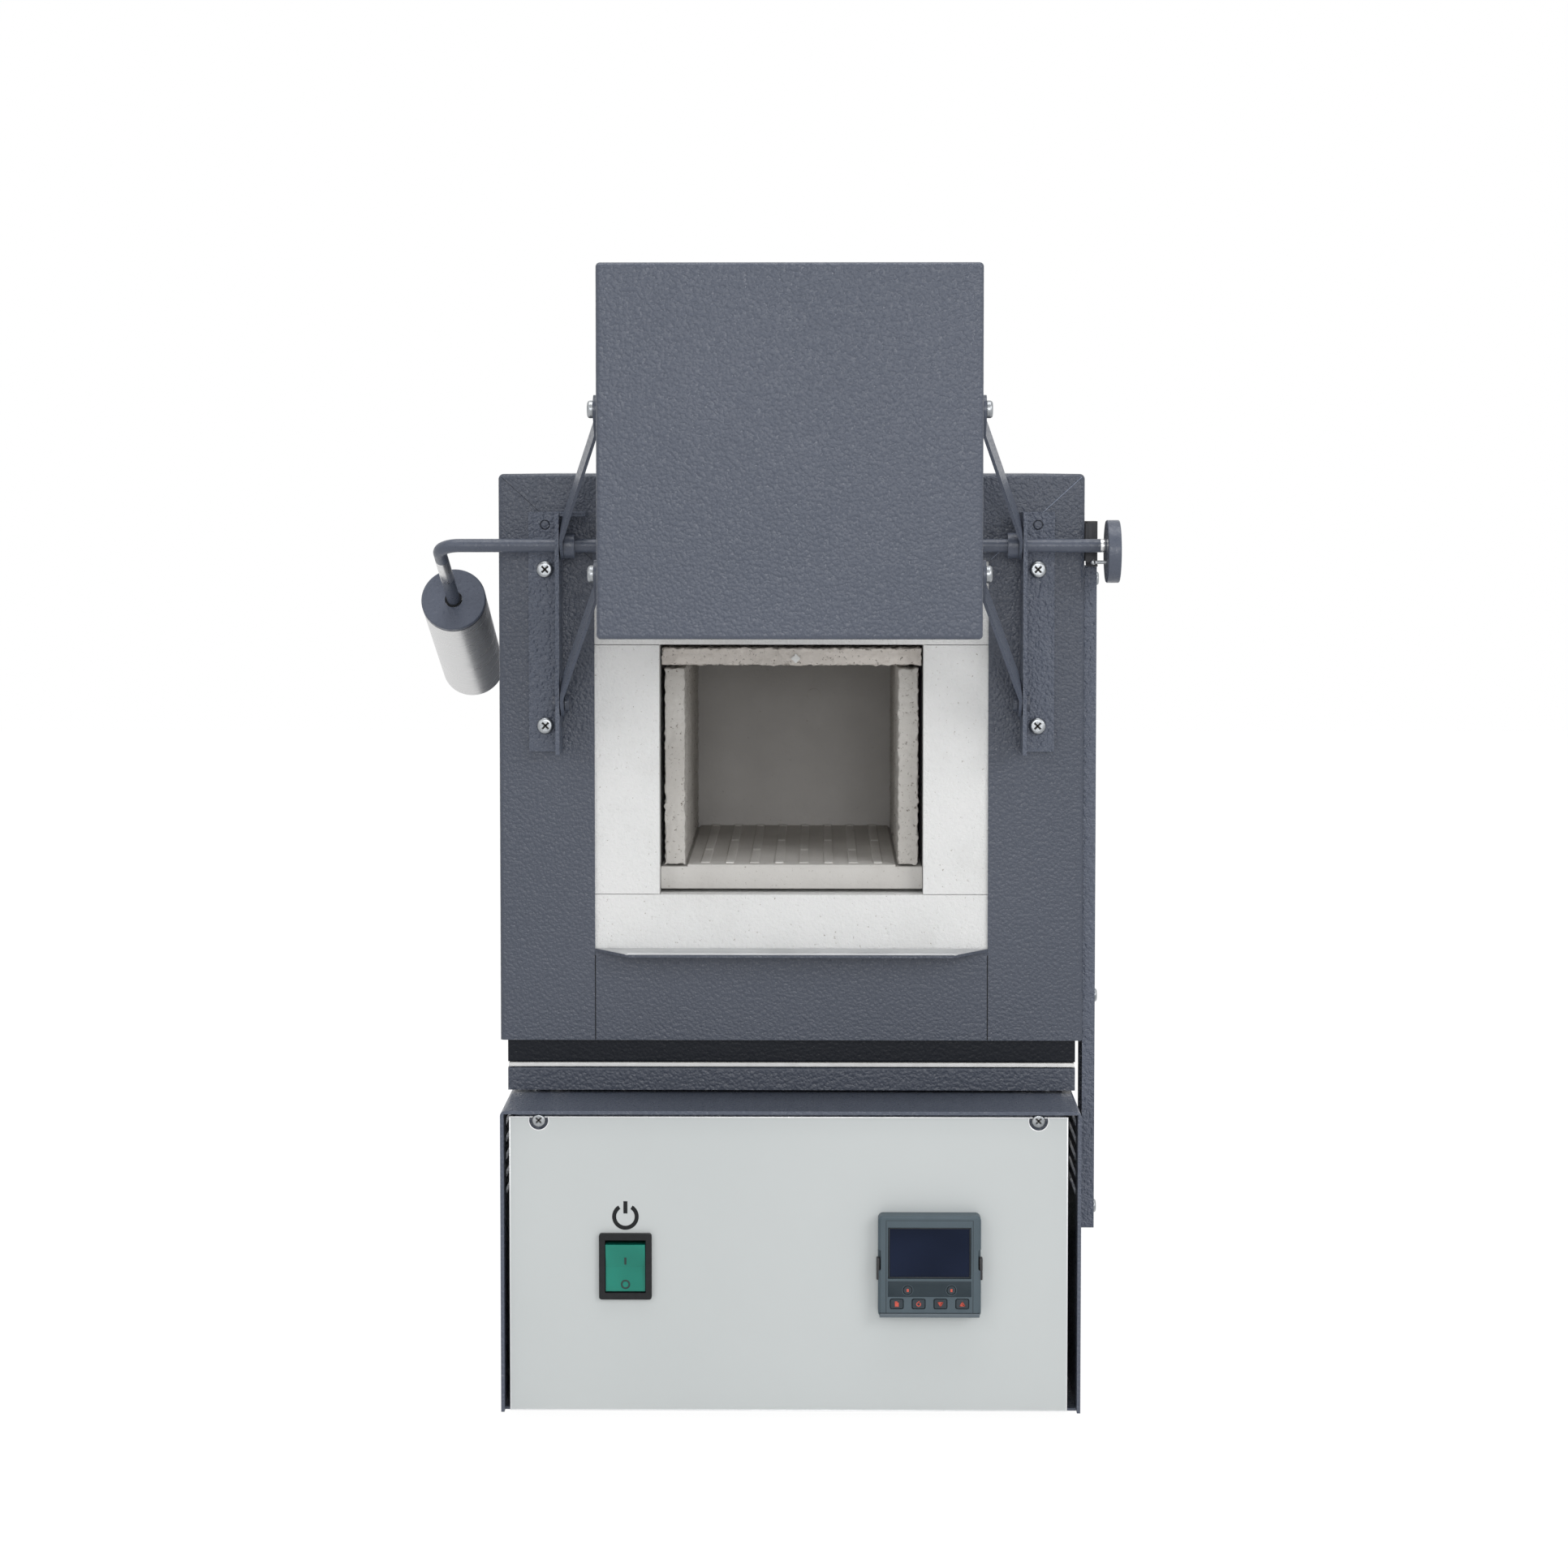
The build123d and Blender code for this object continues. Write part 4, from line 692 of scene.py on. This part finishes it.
def fired_stone(name, light, middle, dark, pore_depth, specks=0.30):
    """Porous fired ceramic: a chalky ground, faint clouds, fine dark specks, and small open pores."""
    finish = new_finish(name, middle, 0.95, specular=0.12)
    tree = finish.node_tree
    clouds = grain(finish, 30.0, 5.0, rough=0.55)
    shadow = tuple(0.88 * m + 0.12 * d for m, d in zip(middle, dark))
    shade_between(finish, clouds, [(0.32, shadow), (0.50, middle), (0.74, light)])
    ground = tree.nodes["Principled BSDF"].inputs["Base Color"].links[0].from_socket
    pits = grain(finish, 560.0, 4.0, rough=0.7)
    pitted = tree.nodes.new("ShaderNodeMapRange")
    pitted.inputs["From Min"].default_value = specks
    pitted.inputs["From Max"].default_value = specks + 0.07
    pitted.inputs["To Min"].default_value = 1.0
    pitted.inputs["To Max"].default_value = 0.0
    stained = tree.nodes.new("ShaderNodeMix")
    stained.data_type = "RGBA"
    stained.inputs["B"].default_value = (*dark, 1.0)
    tree.links.new(pits, pitted.inputs["Value"])
    tree.links.new(pitted.outputs["Result"], stained.inputs["Factor"])
    tree.links.new(ground, stained.inputs["A"])
    tree.links.new(stained.outputs["Result"], tree.nodes["Principled BSDF"].inputs["Base Color"])
    raise_with(finish, pits, pore_depth, 0.8)
    raise_with(finish, grain(finish, 220.0, 5.0, rough=0.6), pore_depth, 0.5)
    return finish


brick = fired_stone("white_brick", (0.90, 0.90, 0.895), (0.875, 0.88, 0.875),
                    (0.46, 0.43, 0.39), 0.0011, 0.285)
dress(brick, "sill_brick", "lintel_brick", "jamb_bricks")

# The heating plates inside are cast from a tan cement over their coils, rougher and darker at the edges.
roof_cement = fired_stone("roof_cement", (0.78, 0.73, 0.68), (0.71, 0.665, 0.62),
                          (0.17, 0.15, 0.13), 0.0006, 0.33)
wall_cement = fired_stone("wall_cement", (0.62, 0.60, 0.57), (0.56, 0.54, 0.51),
                          (0.20, 0.175, 0.155), 0.0006, 0.33)
hearth_cement = fired_stone("hearth_cement", (0.68, 0.665, 0.64), (0.64, 0.625, 0.60),
                            (0.32, 0.29, 0.26), 0.0004, 0.29)
rear_cement = fired_stone("rear_cement", (0.60, 0.585, 0.57), (0.56, 0.545, 0.53),
                          (0.36, 0.34, 0.33), 0.0003, 0.26)
dress(roof_cement, "roof_plate")
dress(wall_cement, "wall_plates")
dress(hearth_cement, "hearth_plate")
dress(rear_cement, "rear_plate")


def crumbled(source, name, finish, depth):
    """A lining block again as a finely divided mesh, its faces and edges worn in by a cloud texture."""
    bpy.ops.object.select_all(action="DESELECT")
    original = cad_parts[source]
    block = original.copy()
    block.data = original.data.copy()
    block.animation_data_clear()
    bpy.context.collection.objects.link(block)
    block.parent = None
    for word in list(block.keys()):
        del block[word]
    block.select_set(True)
    bpy.context.view_layer.objects.active = block
    bpy.ops.object.mode_set(mode="EDIT")
    bpy.ops.mesh.select_all(action="SELECT")
    bpy.ops.mesh.remove_doubles(threshold=0.000001)
    bpy.ops.object.mode_set(mode="OBJECT")
    fine = block.modifiers.new("divide", "REMESH")
    fine.mode = "VOXEL"
    fine.voxel_size = 0.0010
    bpy.ops.object.modifier_apply(modifier="divide")
    wear = bpy.data.textures.new(name + "_wear", "CLOUDS")
    wear.noise_scale = 0.0024
    wear.noise_depth = 4
    eaten = block.modifiers.new("wear", "DISPLACE")
    eaten.texture = wear
    eaten.texture_coords = "LOCAL"
    eaten.mid_level = 0.85
    eaten.strength = depth
    bpy.ops.object.modifier_apply(modifier="wear")
    bpy.ops.object.shade_smooth()
    return take(name, finish, "furnace")


for source, finish, depth in (("roof_plate", roof_cement, 0.0028), ("wall_plates", wall_cement, 0.0026)):
    piece = crumbled(source, source + "_cast", finish, depth)
    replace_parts(piece, source)

board = new_finish("fibre_board", (0.84, 0.83, 0.80), 0.95, specular=0.1)
mottle(board, 130.0, (0.78, 0.77, 0.74), (0.88, 0.87, 0.85), 6.0)
raise_with(board, grain(board, 600.0, 5.0), 0.0004)

# The hearth is one cast tile with a straight front edge and low soft ribs; pale dashes on the rib tops are
# painted highlights.
hearth_low, hearth_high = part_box("hearth_plate")
walls_low, walls_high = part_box("wall_plates")
rear_low, rear_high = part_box("rear_plate")
chamber_x = (sill_low[0] + sill_high[0]) / 2
half_wide = 0.0502  # of the tile's raised part, between the walls
tile = [block_between(hearth_low, (hearth_high[0], hearth_high[1], walls_low[2] - 0.0003), 0.0007, 2),
        block_between((chamber_x - half_wide, hearth_low[1] + 0.0003, walls_low[2] - 0.0012),
                      (chamber_x + half_wide, hearth_high[1], hearth_high[2] - 0.0006), 0.0006, 2)]
rib_highlight_dashes = []
rib_count = 8
rib_pitch = 0.0119
# Rows of painted highlight dashes: how far back, the first rib with one, and every how many ribs.
dash_rows = ((0.0030, 1, 2), (0.0560, 0, 2), (0.0980, 1, 2), (0.1700, 0, 1))
for rib in range(rib_count):
    x = chamber_x + (rib - (rib_count - 1) / 2) * rib_pitch
    tile.append(block_between((x - 0.0024, hearth_low[1] + 0.0060, hearth_high[2] - 0.0014),
                              (x + 0.0024, hearth_high[1] - 0.0004, hearth_high[2]), 0.0006, 3))
    for back, first, step in dash_rows:
        if rib % step == first % step:
            block_between((x - 0.0019, hearth_low[1] + back, hearth_high[2] - 0.0005),
                          (x + 0.0019, hearth_low[1] + back + 0.0060, hearth_high[2] + 0.00015), 0.0002, 1)
            rib_highlight_dashes.append(take("hearth_highlight_mark", board, "furnace"))
bpy.ops.object.select_all(action="DESELECT")
for block in tile:
    block.select_set(True)
bpy.context.view_layer.objects.active = tile[0]
bpy.ops.object.join()
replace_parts(take("hearth_tile", hearth_cement, "furnace"), "hearth_plate")
joined(rib_highlight_dashes, "hearth_highlight_marks")

# A pale chip shows in the roof plate's front, and the thermocouple's port is a faint ring on the rear plate.
roof_low, roof_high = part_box("roof_plate")
block_between((-0.0017, 0.0, -0.0017), (0.0017, 0.0010, 0.0017), 0.0003, 2)
bpy.context.object.rotation_euler = (0, radians(45), 0)
roof_middle = (roof_low[2] + roof_high[2]) / 2
bpy.context.object.location = (chamber_x + 0.0020, roof_low[1] - 0.0001, roof_middle - 0.0008)
take("roof_chip", brick, "furnace")
port_low, port_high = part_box("thermocouple")
port_x, port_z = (port_low[0] + port_high[0]) / 2, (port_low[2] + port_high[2]) / 2
flat_ring(0.0033, 0.0005, 0.0002).location = (port_x, rear_low[1] - 0.00005, port_z)
take("thermocouple_port", wall_cement, "furnace")


# ---------------------------------------------------------------- fibre insulation and heater ends
# Boards of pressed white fibre fill the case round the chamber, and the elements' tails come out behind them.
# The thermocouple's sheath runs in through the rear plate from a moulded head.

dress(board, "insulation_bottom", "insulation_top", "insulation_sides", "insulation_rear", "door_insulation")
dress(rear_cement, "thermocouple")
scaled_wire = new_finish("scaled_wire", (0.30, 0.28, 0.27), 0.6, metallic=0.8)
mottle(scaled_wire, 320.0, (0.20, 0.19, 0.18), (0.36, 0.34, 0.33), 5.0)
dress(scaled_wire, "element_leads")


# ---------------------------------------------------------------- brackets
# Two bent steel angles, enamelled like the case and held by two pan head screws each.
# A spare hole at the top is half filled with enamel; the left angle also turns in as the door's stop.

slate_coarse = slate_enamel("slate_enamel_coarse", 1.16, 1.7)
dress(slate_coarse, "left_bracket", "right_bracket")
bolt_low, bolt_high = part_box("bracket_screws")
bolt_r = 0.004
bolt_t = 0.0026
bolt_x = (bolt_low[0] + bolt_r, bolt_high[0] - bolt_r)
bolt_z = (bolt_low[2] + bolt_r, bolt_high[2] - bolt_r)
bolt_y = bolt_low[1] + bolt_t / 2
bracket_heads = copies_at(cross_screw(bolt_r, bolt_t), [(x, bolt_y, z) for x in bolt_x for z in bolt_z],
                          "bracket_screw", zinc, "furnace")
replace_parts(joined(bracket_heads, "bracket_screw_heads"), "bracket_screws")
dark_recesses([(x, bolt_y - 0.0001, z) for x in bolt_x for z in bolt_z], bolt_r, "bracket_screw_recesses")

spare_rise = 0.0958  # from the lower screws up to the spare holes
spare_z = bolt_z[0] + spare_rise
leaf_y = bolt_low[1] + bolt_t
for number, x in enumerate(bolt_x):
    bpy.ops.object.select_all(action="DESELECT")
    bpy.ops.mesh.primitive_cylinder_add(vertices=40, radius=0.0021, depth=0.0012,
                                        location=(x, leaf_y + 0.0011, spare_z), rotation=(radians(90), 0, 0))
    plug = bpy.context.object
    round_off = plug.modifiers.new("meniscus", "BEVEL")
    round_off.width = 0.0004
    round_off.segments = 3
    bpy.ops.object.modifier_apply(modifier="meniscus")
    bpy.ops.object.shade_smooth_by_angle(angle=radians(40))
    take(f"filled_hole_{number + 1}", slate, "furnace")


# ---------------------------------------------------------------- wiring channel and door switch
# A folded channel up the right side carries the door switch's wires down to the base, under three screws.
# The switch is a small black snap switch with a sprung lever in front.

dress(slate_coarse, "wiring_channel")
dress(black_case, "microswitch")
spring_steel = new_finish("blued_spring_steel", (0.022, 0.023, 0.027), 0.4, metallic=0.4, specular=0.3)
roughen(spring_steel, grain(spring_steel, 500.0, stretch=(1.0, 1.0, 0.1)), 0.32, 0.46)
dress(spring_steel, "switch_lever")
dress(zinc, "channel_screws")


# ---------------------------------------------------------------- door shaft
# One bent steel rod turns in both brackets: across the front, round at the left, and back into the handle.
# It is enamelled as far as the bend's leg; its right end and the stretch into the handle are bare.

slate_rod = slate_enamel("slate_enamel_rod", 1.06, 0.25)
dress(slate_rod, "door_shaft")
shaft_low, shaft_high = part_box("door_shaft")
cap_low, cap_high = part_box("handle_cap")
shaft_r = 0.003175
shaft_y = shaft_low[1] + shaft_r
shaft_z = shaft_high[2] - shaft_r
handle_x = (cap_low[0] + cap_high[0]) / 2
droop = radians(22.5)  # the handle's slope below level
down_handle = Vector((0, cos(droop), -sin(droop)))
bright_rod = new_finish("bright_rod", (0.66, 0.66, 0.66), 0.25, metallic=1.0)
roughen(bright_rod, grain(bright_rod, 420.0, stretch=(1.0, 0.2, 0.2)), 0.2, 0.36)
mottle(bright_rod, 240.0, (0.58, 0.58, 0.58), (0.72, 0.72, 0.72))


def rod_sleeve(start, along, length, radius, name, finish, body):
    """A thin bare skin over a stretch of rod, closed at both ends with broken edges."""
    bpy.ops.object.select_all(action="DESELECT")
    bpy.ops.mesh.primitive_cylinder_add(vertices=48, radius=radius, depth=length,
                                        location=start + along * length / 2,
                                        rotation=along.to_track_quat("Z", "Y").to_euler())
    sleeve = bpy.context.object
    broken = sleeve.modifiers.new("broken_edge", "BEVEL")
    broken.width = min(0.0003, length * 0.2)
    broken.segments = 2
    bpy.ops.object.modifier_apply(modifier="broken_edge")
    bpy.ops.object.shade_smooth_by_angle(angle=radians(40))
    return take(name, finish, body)


handle_start = Vector((handle_x, shaft_y, shaft_z)) + down_handle * 0.0730
skin_r = shaft_r + 0.00006
rod_sleeve(handle_start - down_handle * 0.0550, down_handle, 0.0260, skin_r, "bare_rod", bright_rod, "shaft")
rod_sleeve(handle_start - down_handle * 0.0003, down_handle, 0.0004, shaft_r + 0.0009, "rod_entry_shadow",
           seam_dark, "shaft")
cam_low, cam_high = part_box("switch_cam")
rod_sleeve(Vector((cam_low[0] - 0.0028, shaft_y, shaft_z)), Vector((1, 0, 0)), 0.0026, skin_r,
           "bare_shaft_end", bright_rod, "shaft")


# ---------------------------------------------------------------- counterweight handle
# A heavy turned steel bar driven on the rod, finely brushed round its length and left bare.
# A flat enamelled washer caps its near end round the rod.

turned_steel = new_finish("turned_steel", (0.62, 0.62, 0.62), 0.34, metallic=1.0)
brushed = grain(turned_steel, 500.0, 4.0)
lathe_marks = brushed.node.inputs["Vector"].links[0].from_node
lathe_marks.vector_type = "TEXTURE"
lathe_marks.inputs["Rotation"].default_value = (-(pi / 2 + droop), 0.0, 0.0)
lathe_marks.inputs["Scale"].default_value = (30.0, 30.0, 1.0)
roughen(turned_steel, brushed, 0.22, 0.42)
raise_with(turned_steel, brushed, 0.00003)
shade_between(turned_steel, brushed, [(0.3, (0.52, 0.52, 0.52)), (0.7, (0.66, 0.66, 0.66))])
dress(turned_steel, "handle_body")
cap_enamel = slate_enamel("slate_enamel_cap", 1.15, 0.5)
dress(cap_enamel, "handle_cap")


# ---------------------------------------------------------------- cam on the shaft's right end
# A small enamelled disc, set off-centre on the shaft's end, with a bright pin that reaches in by the switch.
# The pin has a rounded nose.

dress(slate_rod, "switch_cam", "shaft_collars")
pin_start = Vector((cam_low[0] + 0.0005, shaft_y, shaft_z - 0.0078))
bpy.ops.object.select_all(action="DESELECT")
pin_l = 0.0072
bpy.ops.mesh.primitive_cylinder_add(vertices=32, radius=0.00085, depth=pin_l, rotation=(0, radians(90), 0),
                                    location=pin_start - Vector((pin_l / 2, 0, 0)))
shank = bpy.context.object
bpy.ops.mesh.primitive_uv_sphere_add(segments=32, ring_count=16, radius=0.0012,
                                     location=pin_start - Vector((0.0066, 0, 0)))
nose = bpy.context.object
nose.scale = (1.25, 1.0, 1.0)
bpy.ops.object.transform_apply(location=True, rotation=True, scale=True)
bpy.ops.object.shade_smooth()
shank.select_set(True)
bpy.context.view_layer.objects.active = shank
bpy.ops.object.join()
bpy.ops.object.shade_smooth_by_angle(angle=radians(50))
take("cam_pin", zinc, "shaft")


# ---------------------------------------------------------------- links
# Two pairs of flat steel strips with round ends, joggled outwards from the door's sides to the brackets.
# They turn on shouldered rivets: enamelled over at the brackets, bright zinc at the door.

dress(slate_rod, "upper_arms", "lower_arms")
rivet_enamel = slate_enamel("slate_enamel_rivets", 0.8, 0.7)
dress(rivet_enamel, "pivot_rivets")
dress(zinc, "door_pivots")


# ---------------------------------------------------------------- door
# A shallow steel pan, folded square and enamelled, packed with a slab of fibre that seals on the bricks.
# Its flat front carries nothing: it is one plain sheet with softly folded edges.

slate_door = slate_enamel("slate_enamel_door", 0.98)
dress(slate_door, "door_shell")


# ---------------------------------------------------------------- bench, lamps and camera
# A pale bench under plain soft studio light, seen from in front, level with the case's top.
# Large soft lamps stand in front at both sides and overhead, so the enamel shows long pale reflections.

bpy.ops.object.select_all(action="DESELECT")
bpy.ops.mesh.primitive_plane_add(size=8.0, location=(0, 0, 0))
bench = bpy.context.object
bench.name = "bench"
bench_white = new_finish("bench_white", (0.86, 0.86, 0.86), 0.9, specular=0.1)
tree = bench_white.node_tree
mottle(bench_white, 3.0, (0.85, 0.85, 0.85), (0.87, 0.87, 0.87))
rays = tree.nodes.new("ShaderNodeLightPath")
seen = tree.nodes.new("ShaderNodeMath")
seen.operation = "ADD"
seen.use_clamp = True
metal = tree.nodes.new("ShaderNodeMath")
metal.operation = "ADD"
tree.links.new(rays.outputs["Is Glossy Ray"], metal.inputs[0])
tree.links.new(rays.outputs["Is Transmission Ray"], metal.inputs[1])
tree.links.new(rays.outputs["Is Camera Ray"], seen.inputs[0])
tree.links.new(metal.outputs[0], seen.inputs[1])
white_share = 0.90  # of what the camera, metal and glass see; the rest keeps the shadows
white_glow = 1.09
share = tree.nodes.new("ShaderNodeMath")
share.operation = "MULTIPLY"
share.inputs[1].default_value = white_share
glow = tree.nodes.new("ShaderNodeEmission")
glow.inputs["Strength"].default_value = white_glow
mix = tree.nodes.new("ShaderNodeMixShader")
tree.links.new(seen.outputs[0], share.inputs[0])
tree.links.new(share.outputs[0], mix.inputs[0])
tree.links.new(tree.nodes["Principled BSDF"].outputs[0], mix.inputs[1])
tree.links.new(glow.outputs[0], mix.inputs[2])
tree.links.new(mix.outputs[0], tree.nodes["Material Output"].inputs["Surface"])
bench.data.materials.append(bench_white)

world = bpy.data.worlds.new("studio")
bpy.context.scene.world = world
world.use_nodes = True
tree = world.node_tree
ambient = tree.nodes["Background"]
ambient.inputs["Color"].default_value = (1.0, 1.0, 1.0, 1.0)
ambient.inputs["Strength"].default_value = 0.33
white = tree.nodes.new("ShaderNodeBackground")
white.inputs["Color"].default_value = (1.0, 1.0, 1.0, 1.0)
white.inputs["Strength"].default_value = 1.0
rays = tree.nodes.new("ShaderNodeLightPath")
either = tree.nodes.new("ShaderNodeMath")
either.operation = "ADD"
either.use_clamp = True
metal = tree.nodes.new("ShaderNodeMath")
metal.operation = "ADD"
tree.links.new(rays.outputs["Is Glossy Ray"], metal.inputs[0])
tree.links.new(rays.outputs["Is Transmission Ray"], metal.inputs[1])
tree.links.new(rays.outputs["Is Camera Ray"], either.inputs[0])
tree.links.new(metal.outputs[0], either.inputs[1])
mix = tree.nodes.new("ShaderNodeMixShader")
tree.links.new(either.outputs[0], mix.inputs[0])
tree.links.new(ambient.outputs[0], mix.inputs[1])
tree.links.new(white.outputs[0], mix.inputs[2])
tree.links.new(mix.outputs[0], tree.nodes["World Output"].inputs["Surface"])


def soft_lamp(name, place, aim, width, height, watts):
    """A plain white area lamp turned towards a point."""
    bpy.ops.object.select_all(action="DESELECT")
    bpy.ops.object.light_add(type="AREA", location=place)
    lamp = bpy.context.object
    lamp.name = name
    lamp.data.shape = "RECTANGLE"
    lamp.data.size = width
    lamp.data.size_y = height
    lamp.data.energy = watts
    lamp.rotation_euler = (Vector(aim) - Vector(place)).to_track_quat("-Z", "Y").to_euler()


soft_lamp("front_left_lamp", (-1.5, -2.0, 1.25), (0, 0, 0.3), 1.2, 1.2, 6.5)
soft_lamp("front_right_lamp", (1.7, -1.9, 1.25), (0, 0, 0.3), 1.2, 1.2, 16)
soft_lamp("camera_side_lamp", (0.1, -2.6, 0.75), (0, 0, 0.3), 0.8, 0.8, 12.5)
soft_lamp("overhead_lamp", (0, -0.3, 2.2), (0, 0, 0.3), 1.6, 1.2, 20)

bpy.ops.object.camera_add(location=(0.0273, -1.7266, 0.4475), rotation=(radians(87.0), 0, radians(0.598)))
camera = bpy.context.object
camera.data.sensor_width = 36.0
camera.data.lens = 77.09
camera.data.shift_y = -0.0885
camera.data.clip_end = 50.0
bpy.context.scene.camera = camera
bpy.context.scene.view_settings.view_transform = "Standard"
